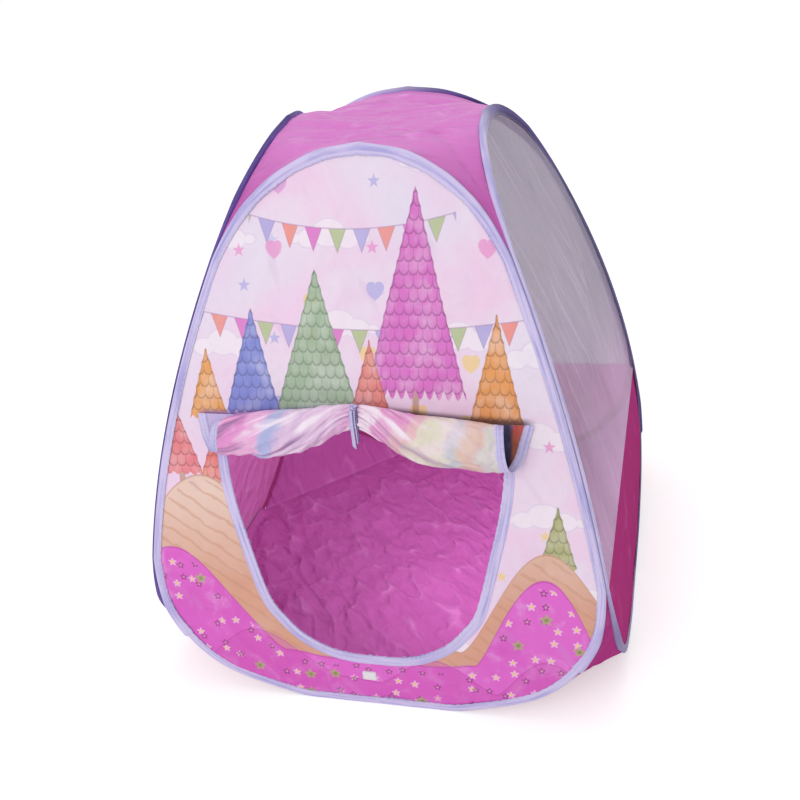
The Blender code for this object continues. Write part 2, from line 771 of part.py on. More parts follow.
def wrap_roll(breadth, out, height):
    """Winds a flat point of the flap, drawn downwards from its seam, into the roll."""
    place = on_roll(breadth, out, FLAP_SEAM_HEIGHT - height)
    return on_front(breadth, place.x, place.y)


def flap_side():
    """The flap's right edge, from its seam down to its foot."""
    right = [(FLAP_HALF_WIDTH * x, FLAP_SEAM_HEIGHT - FLAP_LENGTH * s) for x, s in FLAP_SIDE_SHARES]
    return smooth_through(right, 2)


def door_flap(material):
    side = flap_side()
    outline = [*side, *[(-x, z) for x, z in reversed(side)]]
    cuts = roll_breadths()[1:-1]
    mesh = sheet_mesh("door_flap", [outline], FLAP_CLOTH, roll_heights(), cuts)
    return smooth(add_object("door_flap", lay(mesh, wrap=wrap_roll), material), 60)


def flap_binding(material):
    """Tape along the flap's edge, from one end of its seam round its foot to the other."""
    side = flap_side()
    edge = [*side, *[(-x, z) for x, z in reversed(side)]]
    near = offset_outline(list(reversed(edge)), -2 * SEAT_GAP)
    far = offset_outline(list(reversed(edge)), -FLAP_BINDING_WIDTH)
    near[0] = (-FLAP_HALF_WIDTH - 2 * SEAT_GAP, FLAP_SEAM_HEIGHT)
    near[-1] = (FLAP_HALF_WIDTH + 2 * SEAT_GAP, FLAP_SEAM_HEIGHT)
    far[0] = (-FLAP_HALF_WIDTH - FLAP_BINDING_WIDTH, FLAP_SEAM_HEIGHT)
    far[-1] = (FLAP_HALF_WIDTH + FLAP_BINDING_WIDTH, FLAP_SEAM_HEIGHT)
    outline = [*far, *reversed(near)]
    cuts = roll_breadths()[1:-1]
    mesh = sheet_mesh("door_flap_binding", [outline], FLAP_BINDING_THICKNESS, roll_heights(), cuts)
    return smooth(add_object("door_flap_binding", lay(mesh, wrap=wrap_roll), material), 60)


def flap_patch(material):
    """The other half of the closure, on the inside of the flap's foot."""
    foot = FLAP_SEAM_HEIGHT - FLAP_LENGTH + FLAP_BINDING_WIDTH / 2
    left = -PATCH_WIDTH / 2
    right = PATCH_WIDTH / 2
    corners = [(left, foot), (right, foot), (right, foot + PATCH_HEIGHT), (left, foot + PATCH_HEIGHT)]
    mesh = sheet_mesh("flap_patch", [corners], PATCH_THICKNESS, roll_heights())
    out = FLAP_CLOTH / 2 + SEAT_GAP + PATCH_THICKNESS / 2
    mesh.transform(Matrix.Translation((0, out, 0)))
    return smooth(add_object("flap_patch", lay(mesh, wrap=wrap_roll), material), 60)


# The ribbon tie

def in_profile(out, height):
    """The (forward, height) place, seen from the side, of a point at the tent's middle."""
    place = on_front(0.0, out, height)
    return Vector((-place.y, place.z))


def round_roll(degrees, clearance):
    """A place round the outer turn of the roll where it is tied, and its outward direction."""
    angle = math.radians(degrees)
    down = ROLL_HANG + ROLL_MEAN * angle * (1 - ROLL_CLOSING * angle / 2)
    out = FLAP_CLOTH / 2 + clearance
    before = in_profile(*on_roll(0.0, out, down - SEAT_GAP))
    after = in_profile(*on_roll(0.0, out, down + SEAT_GAP))
    along = (after - before).normalized()
    return before.lerp(after, 0.5), Vector((along.y, -along.x))


def ribbon(name, path, width, thickness, material, across=0.0):
    """A flat ribbon along a path of (forward, height), by a profile swept along a curve."""
    half = width / 2
    face = thickness / 2
    corners = [(-face, -half), (-face, half), (face, half), (face, -half)]
    section = flat_curve(name + "_section", [corners])
    curve = flat_curve(name, [path], closed=False)
    curve.data.fill_mode = "NONE"
    curve.data.bevel_mode = "OBJECT"
    curve.data.bevel_object = section
    curve.data.use_fill_caps = True
    mesh = mesh_of(curve, SEAT_GAP * 0.1)
    bpy.data.objects.remove(section)
    for vert in mesh.vertices:
        forward, breadth, height = vert.co
        vert.co = Vector((breadth + across, -forward, height))
    face_outwards(mesh)
    return smooth(add_object(name, mesh, material), 60)


def tie_band(material):
    """From the flap's seam up behind the roll, over it, down its front and under it."""
    path = [in_profile(TIE_SEWN_OUT, FLAP_SEAM_HEIGHT + TIE_SEWN_RISE)]
    degrees = TIE_OVER_DEG
    while degrees >= 0:
        path.append(round_roll(degrees, SEAT_GAP + TIE_THICKNESS / 2)[0])
        degrees -= ROLL_STEP_DEG
    return ribbon("tie_band", path, TIE_WIDTH, TIE_THICKNESS, material)


def knot_place():
    """The knot's middle and the direction it faces, as (forward, height)."""
    place, facing = round_roll(KNOT_ANGLE_DEG, SEAT_GAP + TIE_THICKNESS)
    return place + facing * (SEAT_GAP + KNOT_DEPTH / 2), facing


def tie_knot(material):
    """The knot: a rounded lump on the band, with its long way across."""
    place, facing = knot_place()
    work = bmesh.new()
    bmesh.ops.create_cube(work, size=1.0)
    for vert in work.verts:
        vert.co = Vector((vert.co.x * KNOT_WIDTH, vert.co.y * KNOT_DEPTH, vert.co.z * KNOT_HEIGHT))
    mesh = bpy.data.meshes.new("tie_knot")
    work.to_mesh(mesh)
    work.free()
    knot = add_object("tie_knot", mesh, material)
    tilt = Matrix.Rotation(-math.atan2(facing.y, facing.x), 4, "X")
    knot.matrix_world = Matrix.Translation((0.0, -place.x, place.y)) @ tilt
    rounding = knot.modifiers.new("rounded", "BEVEL")
    rounding.width = KNOT_DEPTH / 3
    rounding.segments = 3
    return smooth(knot)


def tie_tail(name, material):
    """A loose end of the ribbon: it leaves the knot's foot and hangs down past the roll."""
    knot, facing = knot_place()
    upward = Vector((-facing.y, facing.x))
    start = knot - upward * (KNOT_HEIGHT / 2 + SEAT_GAP)
    clearance = 2 * SEAT_GAP + TIE_THICKNESS + TAIL_THICKNESS / 2
    front = max(round_roll(degrees, clearance)[0].x for degrees in TAIL_FRONT_DEGS)
    reach = front - start.x
    length = TAIL_LENGTHS[name]
    shape = [(start.x + reach * x, start.y - length * z) for x, z in TAIL_HANG_SHARES]
    across = TAIL_SPREAD_SHARES[name] * KNOT_WIDTH
    path = smooth_through(shape, 2)
    return ribbon(name, path, TAIL_WIDTH, TAIL_THICKNESS, material, across)


start_scene()

steel = make_material("spring_steel", (0.33, 0.34, 0.36), 0.35, 1.0)
crimp = make_material("zinc_crimp", (0.55, 0.56, 0.58), 0.4, 1.0)
tape = make_material("lavender_tape", (0.60, 0.58, 0.85), 0.75)
print_cloth = make_material("printed_taffeta", (0.86, 0.72, 0.86), 0.6)
net = make_material("grey_net", (0.62, 0.58, 0.62), 0.8, alpha=0.75)
magenta = make_material("magenta_taffeta", (0.42, 0.08, 0.28), 0.6)
pink = make_material("pink_taffeta", (0.60, 0.16, 0.50), 0.6)
white = make_material("white_hook_tape", (0.85, 0.85, 0.85), 0.9)

for side_number in range(len(SIDES)):
    build_loop(side_number, steel, crimp, tape)
front_panel(print_cloth)
door_binding(tape)
closure_patch(white)
for side_number in (1, 2, 3):
    side_panels(side_number, net, magenta)
crown(pink)
groundsheet(magenta)
for corner_number in range(len(CORNERS)):
    corner_gusset(corner_number, magenta)
door_flap(print_cloth)
flap_binding(tape)
flap_patch(white)
tie_band(tape)
tie_knot(tape)
for tail_name in TAIL_LENGTHS:
    tie_tail(tail_name, tape)
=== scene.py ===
# %% [markdown]
# # A child's pop-up play tent
# The frame that is loaded here holds every solid of the tent at its real size. This lesson keeps
# those places and dresses them: tape, cloth, net, print and ribbon, each with its own finish.
# All lengths are in metres. A cloth piece is worked out on its flat cut first, as it lies on the
# cutting table, and is then laid on the tent. So its picture and its weave follow the cloth.

# %% Load the frame
import math

import bpy
import numpy as np
from mathutils import Matrix, Vector


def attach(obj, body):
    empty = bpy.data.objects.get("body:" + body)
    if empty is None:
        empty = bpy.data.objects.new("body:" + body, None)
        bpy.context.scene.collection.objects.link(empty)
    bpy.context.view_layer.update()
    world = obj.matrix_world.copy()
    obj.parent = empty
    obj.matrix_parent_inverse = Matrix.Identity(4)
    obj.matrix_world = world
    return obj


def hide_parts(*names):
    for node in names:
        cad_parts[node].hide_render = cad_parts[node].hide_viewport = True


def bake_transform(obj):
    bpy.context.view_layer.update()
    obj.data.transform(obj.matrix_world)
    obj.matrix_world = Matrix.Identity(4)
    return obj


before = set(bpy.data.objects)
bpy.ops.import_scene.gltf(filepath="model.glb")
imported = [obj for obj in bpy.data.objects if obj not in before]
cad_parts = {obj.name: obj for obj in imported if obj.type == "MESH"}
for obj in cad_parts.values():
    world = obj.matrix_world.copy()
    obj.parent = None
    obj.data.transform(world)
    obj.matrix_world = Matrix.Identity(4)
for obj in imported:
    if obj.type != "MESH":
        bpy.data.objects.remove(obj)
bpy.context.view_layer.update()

# %% [markdown]
# ## The camera
# The photograph was taken from a little above and to the right of the doorway, with the camera
# tipped slightly over. A camera is placed by its position and three directions. Blender's camera
# looks along its own -Z, so the third column is the direction from the tent back to the lens.

# %% Camera
LENS_PLACE = Vector((0.4225, -1.5078, 1.1984))
PICTURE_RIGHT = Vector((0.9682, 0.2313, -0.0955)).normalized()
PICTURE_UP = Vector((-0.0322, 0.4937, 0.8690))
towards_lens = PICTURE_RIGHT.cross(PICTURE_UP).normalized()
upright = towards_lens.cross(PICTURE_RIGHT)
lens = bpy.data.cameras.new("camera")
lens.sensor_width = 36.0
lens.lens = 48.73
lens.clip_end = 20.0
camera = bpy.data.objects.new("camera", lens)
bpy.context.scene.collection.objects.link(camera)
turned = Matrix((PICTURE_RIGHT, upright, towards_lens)).transposed().to_4x4()
camera.matrix_world = Matrix.Translation(LENS_PLACE) @ turned
bpy.context.scene.camera = camera
bpy.context.scene.view_settings.view_transform = "Standard"
print("camera at", tuple(round(value, 3) for value in camera.location))

# %% [markdown]
# ## The tent's curved sides
# Each side of a pop-up tent leans in and bows, because its wire loop is sprung. One parabola
# through three half widths gives that bow. A point of cloth is kept as breadth, distance out of
# the cloth, and height, and one function lays it on any of the four sides.

# %% Sides
HEIGHT = 0.798
BASE_HALF, WAIST_HALF, TOP_HALF = 0.360, 0.3023, 0.148
BOW = 2 * (BASE_HALF + TOP_HALF - 2 * WAIST_HALF)
SIDES = ("front", "right", "back", "left")


def half_width(height):
    share = height / HEIGHT
    return BASE_HALF + (TOP_HALF - BASE_HALF - BOW) * share + BOW * share * share


def lean(height):
    return -(TOP_HALF - BASE_HALF - BOW + 2 * BOW * height / HEIGHT) / HEIGHT


def on_side(side, breadth, out, height):
    """Lays flat points of cloth, given as arrays, on one side of the tent."""
    slope = np.hypot(1.0, lean(height))
    x = breadth + 0 * height
    y = -half_width(height) - out / slope
    z = height + out * lean(height) / slope
    for quarter in range(side):
        x, y = -y, x
    return np.stack(np.broadcast_arrays(x, y, z), axis=-1)


print("side leans in by", round(float(lean(0.4)), 3), "at mid height")

# %% [markdown]
# ## The wire loop's outline
# The loop is egg-shaped: flat on the ground, round at its lower corners, straight up the corner
# of the tent, and arched on top. A few points are joined by smooth spans. The outline is then
# shared out evenly by length, so that tape and stitches don't stretch as they go round it.

# %% Loop outline
WIRE_LOW = 0.00267
CORNER_INSET = 0.00399
FOOT_SHARES = ((0.0, 0.0), (0.20, 0.0), (0.38, 0.006), (0.695, 0.058), (0.885, 0.162))
CORNER_SHARES = (0.285, 0.38, 0.475, 0.57, 0.665, 0.76, 0.83)
ARCH_SHARES = ((0.464, 0.902), (0.325, 0.955), (0.165, 0.9885), (0.0, 1.0))


def smooth_through(points, steps=24):
    """A smooth open curve through the points."""
    points = np.asarray(points, float)
    chain = np.vstack([2 * points[0] - points[1], points, 2 * points[-1] - points[-2]])
    t = np.linspace(0, 1, steps, endpoint=False)[:, None]
    spans = [
        q + 0.5 * t * ((r - p) + t * ((2 * p - 5 * q + 4 * r - s) + t * (3 * (q - r) + s - p)))
        for p, q, r, s in zip(chain, chain[1:], chain[2:], chain[3:])
    ]
    return np.vstack([*spans, points[-1:]])


def run_lengths(points):
    """How far along a line each of its points lies."""
    return np.concatenate([[0], np.cumsum(np.linalg.norm(np.diff(points, axis=0), axis=1))])


def along_line(points, distances):
    """Points at the given distances along a line."""
    runs = run_lengths(points)
    return np.stack([np.interp(distances, runs, axis) for axis in points.T], axis=-1)


def loop_outline():
    rise = HEIGHT - WIRE_LOW
    points = [(BASE_HALF * x, WIRE_LOW + rise * z) for x, z in FOOT_SHARES]
    for share in CORNER_SHARES:
        height = WIRE_LOW + rise * share
        points.append((half_width(height) - CORNER_INSET, height))
    points += [(BASE_HALF * x, WIRE_LOW + rise * z) for x, z in ARCH_SHARES]
    right = smooth_through([(-BASE_HALF * FOOT_SHARES[1][0], WIRE_LOW), *points])[24:]
    right[:, 0] = np.minimum(right[:, 0], half_width(right[:, 1]) - CORNER_INSET)
    left = right[-2::-1] * (-1, 1)
    return np.vstack([right, left])


LOOP = loop_outline()
LOOP_LENGTH = run_lengths(LOOP)[-1]
print("wire loop is", round(LOOP_LENGTH, 3), "m round")

# %% [markdown]
# ## How the door flap is rolled
# The flap hangs from its seam, then winds into a loose roll: behind, under, up the front and in.
# Its section is a spiral that closes as it winds. The ribbon squeezes it in the middle. Soft
# pleats run out of the ribbon, and slow waves keep the roll from looking turned on a lathe.

# %% The roll
FLAP_SEAM, FLAP_LENGTH, FLAP_HALF = 0.4585, 0.405, 0.240
ROLL_DEPTH, ROLL_RISE, ROLL_TOP = 0.0225, 0.0325, 0.4700
ROLL_STANDOFF = 0.0048
ROLL_MEAN = (ROLL_DEPTH + ROLL_RISE) / 2
ROLL_HANG = FLAP_SEAM - (ROLL_TOP - ROLL_RISE)
CORE_SHARE = 0.25
ROLL_CLOSING = (1 - CORE_SHARE) * ROLL_MEAN * (1 + CORE_SHARE) / (2 * (FLAP_LENGTH - ROLL_HANG))
TIE_SQUEEZE, TIE_REACH = 0.50, 0.058
TIE_TURN, TIE_LIFT, TIE_LIFT_REACH = math.radians(35), 0.012, 0.12
ROLL_SLACK = 0.07
END_SLUMP, END_REACH = 0.42, 0.045
SEAM_OUT = 0.00145


def roll_place(breadth, down, out=0.0, loose=1.0):
    """Where cloth of the rolled flap lies: distance out of the front panel, and height."""
    tied = np.exp(-((breadth / TIE_REACH) ** 2))
    slumped = END_SLUMP * np.exp(-(((breadth + FLAP_HALF) / END_REACH) ** 2))
    scale = (1 - TIE_SQUEEZE * tied) * (1 + ROLL_SLACK * breadth / FLAP_HALF) * (1 - slumped)
    lift = TIE_LIFT * np.exp(-((breadth / TIE_LIFT_REACH) ** 2)) - 2 * ROLL_RISE * slumped
    wound = np.maximum(down - ROLL_HANG, 0.0)
    angle = (1 - np.sqrt(1 - 2 * ROLL_CLOSING * wound / ROLL_MEAN)) / ROLL_CLOSING
    left = scale * (1 - ROLL_CLOSING * angle)
    near_tie = np.exp(-np.abs(breadth) / 0.045) * (1 - np.exp(-((breadth / 0.009) ** 2)))
    pleats = 0.075 * near_tie * np.sin(7 * angle + 26 * breadth)
    waves = 0.045 * (1 - tied) * np.sin(2 * angle + 31 * breadth + 1.1)
    waves = waves + 0.03 * (1 - tied) * np.sin(3 * angle - 47 * breadth)
    left = left * (1 + loose * np.minimum(angle, 1.0) * (pleats + waves))
    turn = angle + TIE_TURN * tied
    facing = np.stack(np.broadcast_arrays(-ROLL_RISE * np.cos(turn), -ROLL_DEPTH * np.sin(turn)))
    facing = facing / np.linalg.norm(facing, axis=0)
    place = ROLL_STANDOFF + ROLL_DEPTH * (scale - left * np.cos(turn)) + facing[0] * out
    height = ROLL_TOP + lift - ROLL_RISE * (scale + left * np.sin(turn)) + facing[1] * out
    hung = np.clip(down / ROLL_HANG, 0, 1)
    return SEAM_OUT + (place - SEAM_OUT) * hung, FLAP_SEAM + (height - FLAP_SEAM) * hung


def roll_run(degrees):
    """How far down the flap its roll has turned by an angle."""
    angle = np.radians(degrees)
    return ROLL_HANG + ROLL_MEAN * angle * (1 - ROLL_CLOSING * angle / 2)


ROLL_TURNS = (FLAP_LENGTH - ROLL_HANG) / (math.pi * ROLL_MEAN * (1 + CORE_SHARE))
print("flap winds", round(ROLL_TURNS, 2), "turns")

# %% [markdown]
# ## A grid of cloth
# Every strip and sheet below starts as Blender's own grid, with as many squares as it needs. A
# function that takes shares across and along the grid gives each corner its place on the tent
# and its place on the flat cut. The flat cut becomes the UV map. A wall is added by Solidify.

# %% Cloth grid
def alone(piece):
    """Makes one piece the only selected one, and the active one."""
    bpy.ops.object.select_all(action="DESELECT")
    piece.select_set(True)
    bpy.context.view_layer.objects.active = piece


def lay(piece, points, cut):
    """Moves a piece's corners to points, and keeps its flat cut as the UV map."""
    piece.data.vertices.foreach_set("co", points.reshape(-1))
    corners = np.empty(len(piece.data.loops), int)
    piece.data.loops.foreach_get("vertex_index", corners)
    layer = piece.data.uv_layers.active
    layer.name = "cut"
    layer.data.foreach_set("uv", cut[corners].ravel())
    piece.data.update()


def cloth_grid(name, columns, rows, place):
    """A grid whose corners are placed by a function of shares across and along it."""
    bpy.ops.object.select_all(action="DESELECT")
    bpy.ops.mesh.primitive_grid_add(x_subdivisions=columns, y_subdivisions=rows, location=(0, 0, 0))
    piece = bpy.context.object
    piece.name = piece.data.name = name
    across, along = np.meshgrid(np.linspace(0, 1, columns + 1), np.linspace(0, 1, rows + 1))
    points, cut = place(across, along)
    lay(piece, points, np.stack(np.broadcast_arrays(*cut), -1).reshape(-1, 2))
    return piece


def sew_shut(piece, reach=0.0001, turn_over=False):
    """Joins the grid's edges where they meet, and makes its faces agree."""
    alone(piece)
    bpy.ops.object.mode_set(mode="EDIT")
    bpy.ops.mesh.select_all(action="SELECT")
    bpy.ops.mesh.remove_doubles(threshold=reach)
    if turn_over:
        bpy.ops.mesh.flip_normals()
    bpy.ops.object.mode_set(mode="OBJECT")
    return piece


def middle_line(piece, columns):
    """How long the cloth of a grid is down its middle."""
    places = np.empty(len(piece.data.vertices) * 3)
    piece.data.vertices.foreach_get("co", places)
    return run_lengths(places.reshape(-1, columns + 1, 3)[:, columns // 2])[-1]


CLOTH_AREAS = {}


def thicken(piece, thickness, finish, reverse=None):
    """Gives a sheet its wall and its finish, with another finish on the reverse if it has one."""
    alone(piece)
    CLOTH_AREAS[piece.name] = sum(face.area for face in piece.data.polygons)
    piece.data.materials.clear()
    piece.data.materials.append(finish)
    wall = piece.modifiers.new("wall", "SOLIDIFY")
    wall.thickness = thickness
    wall.offset = 0.0
    if reverse:
        piece.data.materials.append(reverse)
        wall.material_offset = 1
    bpy.ops.object.modifier_apply(modifier="wall")
    bpy.ops.object.shade_smooth()
    print(piece.name, len(piece.data.polygons), "faces")
    return piece


def folds(across, along, size, heading, spread, seed, count=16):
    """Soft waves in cloth, about one in every size, lying roughly along a heading in degrees."""
    chance = np.random.default_rng(seed)
    total = 0 * across
    for wave in range(count):
        angle = math.radians(heading + 90 + spread * chance.normal())
        rate = 2 * math.pi / (size * chance.uniform(0.6, 1.7))
        shift = chance.uniform(0, 2 * math.pi)
        total = total + np.sin(rate * (math.cos(angle) * across + math.sin(angle) * along) + shift)
    return total / math.sqrt(count / 2)


def creases(across, along, size, seed, long=1.0, heading=0.0):
    """Crumpled cloth: sharp ridges round hollows about a size wide, and long times as long."""
    angle = math.radians(heading)
    u = (math.cos(angle) * across + math.sin(angle) * along) / size / long
    v = (math.cos(angle) * along - math.sin(angle) * across) / size
    aside, ahead = (0.35 * folds(u, v, 1.7, 0, 90, seed + extra) for extra in (1, 2))
    u, v = u + aside, v + ahead
    found = np.full(u.shape, 9.0)
    for column in range(math.floor(u.min()) - 1, math.ceil(u.max()) + 1):
        for row in range(math.floor(v.min()) - 1, math.ceil(v.max()) + 1):
            chance = np.random.default_rng((seed, column + 900, row + 900))
            x, y = column + chance.random(), row + chance.random()
            near = (np.abs(u - x) < 1.5) & (np.abs(v - y) < 1.5)
            found[near] = np.minimum(found[near], (u[near] - x) ** 2 + (v[near] - y) ** 2)
    return np.minimum(found, 0.8)


# %% [markdown]
# ## Writing finishes as sums
# A finish is a network of shader nodes. One small class wraps a socket, so that a pattern can be
# written as a sum in Python and each sign adds its Math node. A second class holds the material
# and adds any other node by its type, its settings and the values of its sockets.

# %% Finish helpers
class Signal:
    """A number, vector or colour that varies over the cloth."""

    def __init__(self, finish, socket):
        self.finish = finish
        self.socket = socket

    def math(self, operation, *others):
        return self.finish.sum(operation, self, *others)

    def __add__(self, other):
        return self.math("ADD", other)

    def __sub__(self, other):
        return self.math("SUBTRACT", other)

    def __rsub__(self, other):
        return self.finish.sum("SUBTRACT", other, self)

    def __mul__(self, other):
        return self.math("MULTIPLY", other)

    def __truediv__(self, other):
        return self.math("DIVIDE", other)

    def __abs__(self):
        return self.math("ABSOLUTE")

    __radd__ = __add__
    __rmul__ = __mul__

    def least(self, other):
        return self.math("MINIMUM", other)

    def most(self, other):
        return self.math("MAXIMUM", other)

    def below(self, edge, soft=0.0006):
        """1 where the signal is below an edge and 0 above it, with a soft line between."""
        shifted = self - edge
        return self.finish.node(
            "MapRange", {"interpolation_type": "SMOOTHSTEP"},
            {"Value": shifted, "From Min": -soft, "From Max": soft, "To Min": 1.0, "To Max": 0.0},
        )

    def above(self, edge, soft=0.0006):
        return 1 - self.below(edge, soft)


class Finish:
    """A material in the making. Settings that don't vary go straight to its shader."""

    def __init__(self, name, **constants):
        self.material = bpy.data.materials.new(name)
        self.material.use_nodes = True
        self.tree = self.material.node_tree
        self.shader = self.tree.nodes["Principled BSDF"]
        for key, value in constants.items():
            self.shader.inputs[key.replace("_", " ")].default_value = value

    def feed(self, socket, value):
        if isinstance(value, Signal):
            self.tree.links.new(value.socket, socket)
        elif isinstance(value, tuple) and socket.type == "RGBA":
            socket.default_value = (*value, 1.0)
        else:
            socket.default_value = value

    def node(self, kind, settings=None, sockets=None, result=None):
        made = self.tree.nodes.new("ShaderNode" + kind)
        for key, value in (settings or {}).items():
            setattr(made, key, value)
        by_name = {socket.identifier: socket for socket in made.inputs}
        for key, value in (sockets or {}).items():
            self.feed(by_name[key], value)
        outputs = [socket for socket in made.outputs if socket.enabled]
        if result:
            outputs = [socket for socket in made.outputs if result in (socket.identifier, socket.name)]
        return Signal(self, outputs[0])

    def sum(self, operation, *terms):
        names = ("Value", "Value_001", "Value_002")
        return self.node("Math", {"operation": operation}, dict(zip(names, terms)))

    def vector(self, operation, *terms):
        names = ("Vector", "Vector_001", "Vector_002")
        return self.node("VectorMath", {"operation": operation}, dict(zip(names, terms)))

    def place(self, x, y, z=0.0):
        return self.node("CombineXYZ", None, {"X": x, "Y": y, "Z": z})

    def blend(self, under, over, share):
        return self.node(
            "Mix", {"data_type": "RGBA", "clamp_factor": True},
            {"Factor_Float": share, "A_Color": under, "B_Color": over}, "Result_Color",
        )

    def cut(self):
        """Across and along the flat cut, in metres."""
        flat = self.node("UVMap", {"uv_map": "cut"})
        parts = [self.node("SeparateXYZ", None, {"Vector": flat}, axis) for axis in "XY"]
        return flat, parts[0], parts[1]

    def noise(self, where, scale, detail=2.0, rough=0.5, warp=0.0, kind="FBM", result="Fac"):
        return self.node(
            "TexNoise", {"noise_type": kind, "noise_dimensions": "3D"},
            {"Vector": where, "Scale": scale, "Detail": detail, "Roughness": rough, "Distortion": warp},
            result,
        )

    def finish(self, colour=None, rough=None, height=None, depth=1.0, alpha=None):
        """Feeds the shader what varies over the surface."""
        for key, value in (("Base Color", colour), ("Roughness", rough), ("Alpha", alpha)):
            if value is not None:
                self.feed(self.shader.inputs[key], value)
        if height is not None:
            bump = self.node("Bump", None, {"Height": height, "Distance": depth, "Strength": 1.0})
            self.feed(self.shader.inputs["Normal"], bump)
        return self.material


def shown(red, green, blue):
    """A colour as a picture shows it, from 0 to 255, turned into light."""
    return tuple(
        value / 255 / 12.92 if value < 11 else ((value / 255 + 0.055) / 1.055) ** 2.4
        for value in (red, green, blue)
    )


print("mid grey, 128 of 255, is", round(shown(128, 128, 128)[0], 3), "as light")

# %% [markdown]
# ## Weave and crumple
# Play tents are sewn from thin polyester taffeta. Close to, it is a plain weave. It also keeps
# every fold from the bag it was packed in: sharp little ridges with flat facets between them.
# Both are heights for a Bump node, so they cost no faces.

# %% Cloth surface
WEAVE_PITCH = 0.0006


def weave(cloth, across, along, pitch=WEAVE_PITCH):
    """Threads over and under each other, from -1 to 1."""
    rate = 2 * math.pi / pitch
    return (across * rate).math("SINE") * (along * rate).math("SINE")


def crumple(cloth, flat, size, stretch=(1.0, 1.0), turn=0.0):
    """Sharp ridges round shallow hollows about a size wide, about 0 to 1."""
    turned = cloth.node("VectorRotate", {"rotation_type": "Z_AXIS"}, {"Vector": flat, "Angle": turn})
    drawn = cloth.vector("MULTIPLY", turned, (stretch[0], stretch[1], 1.0))
    stirred = cloth.noise(drawn, 0.6 / size, 2.0, result="Color")
    moved = cloth.vector("ADD", drawn, cloth.vector("MULTIPLY", stirred, (size * 1.6, size * 1.6, 0.0)))
    total = cloth.noise(moved, 2.6 / size, 2.0) * 0.10
    for scale, share in ((1.0, 1.3), (2.3, 0.45)):
        hollow = cloth.node(
            "TexVoronoi", {"feature": "F1", "voronoi_dimensions": "2D"},
            {"Vector": moved, "Scale": scale / size}, "Distance",
        )
        total = total + hollow * hollow * share
    return total


def taffeta(
    name, colour, deep, light, crease, size, stretch=(1.0, 1.0), turn=0.0, shine=1.0, painted_leg_shade=0.0,
):
    """Dyed taffeta: a little deeper in random patches and slubs, paler in other patches and on the
    ridges of its crumples, where the paleness is painted highlight, and, given a share for the
    corners, darker towards the crown's corners as painted shade.

    crease is the bump's height and size the width of a crumple. stretch and turn draw it out.
    """
    cloth = Finish(
        name, Sheen_Weight=0.04 * shine, Sheen_Roughness=0.35, Specular_IOR_Level=0.35 * shine,
    )
    flat, across, along = cloth.cut()
    wrinkle = crumple(cloth, flat, size, stretch, turn)
    patches = cloth.noise(flat, 5.0, 4.0, 0.6)
    slubs = cloth.noise(cloth.place(across * 30, along * 900), 1.0, 2.0)
    shaded = (0.42 - patches).most(0.0) * 1.6 + (slubs - 0.5).most(0.0) * 0.3
    # Paler on the crumples' ridges, as painted highlight, and in random patches.
    ridge_highlight_and_pale_patches = (wrinkle - 0.62).most(0.0) * 1.2 + (patches - 0.56).most(0.0)
    dye_and_painted_light = cloth.blend(colour, deep, shaded)
    dye_and_painted_light = cloth.blend(dye_and_painted_light, light, ridge_highlight_and_pale_patches)
    # Painted shade: the cloth gets darker towards the crown's corners.
    if painted_leg_shade:
        outwards = (abs(across) + abs(along) - 0.20) * 7
        dye_and_painted_light = cloth.blend(dye_and_painted_light, shown(178, 62, 152), outwards.least(1.0).most(0.0) * painted_leg_shade)
    rough = 0.5 + (patches - 0.5) * 0.25 + (slubs - 0.5) * 0.08
    height = wrinkle * crease + weave(cloth, across, along) * 0.000022 + slubs * 0.00003
    return cloth.finish(dye_and_painted_light, rough, height)


magenta_floor = taffeta(
    "magenta_groundsheet", shown(206, 104, 184), shown(186, 88, 164), shown(230, 140, 212),
    crease=0.0046, size=0.025, stretch=(0.55, 1.0), turn=math.radians(50),
)
magenta_band = taffeta(
    "magenta_band", shown(190, 66, 136), shown(172, 54, 118), shown(204, 86, 156),
    crease=0.0014, size=0.05, shine=0.0,
)
# The bands' inner face is written brighter and pinker than their outer face: painted light, for the light
# that comes through the thin cloth.
band_inside_painted_lit = taffeta(
    "magenta_band_inside_painted_lit", shown(232, 142, 208), shown(212, 118, 188), shown(240, 166, 222),
    crease=0.0040, size=0.028, stretch=(0.6, 1.0), turn=math.radians(20),
)
magenta_gusset = taffeta(
    "magenta_gusset", shown(190, 68, 144), shown(162, 52, 118), shown(204, 92, 160),
    crease=0.0018, size=0.03, shine=0.0,
)
pink_crown = taffeta(
    "pink_crown", shown(226, 132, 212), shown(204, 100, 190), shown(238, 160, 228),
    crease=0.0028, size=0.020, stretch=(0.35, 1.0), painted_leg_shade=0.6,
)
print("crown cloth has", len(pink_crown.node_tree.nodes), "nodes")

# %% [markdown]
# ## Tape
# A folded tape holds each wire and binds each raw edge. It is lavender, with a fine twill and a
# row of stitches along each edge. Violet shows on the loops' tapes: partly the navy of the wire's
# own casing on their outer round, partly painted shade on the parts of the tapes that lie in shade.
# In the flat cut, X runs along the tape and Y runs across it, from the fold.

# %% Tape finish
LAVENDER = shown(220, 208, 246)
LAVENDER_DEEP = shown(170, 166, 226)
VIOLET = shown(64, 48, 108)
VIOLET_LIT = shown(112, 90, 172)
STITCH_PITCH = 0.0032


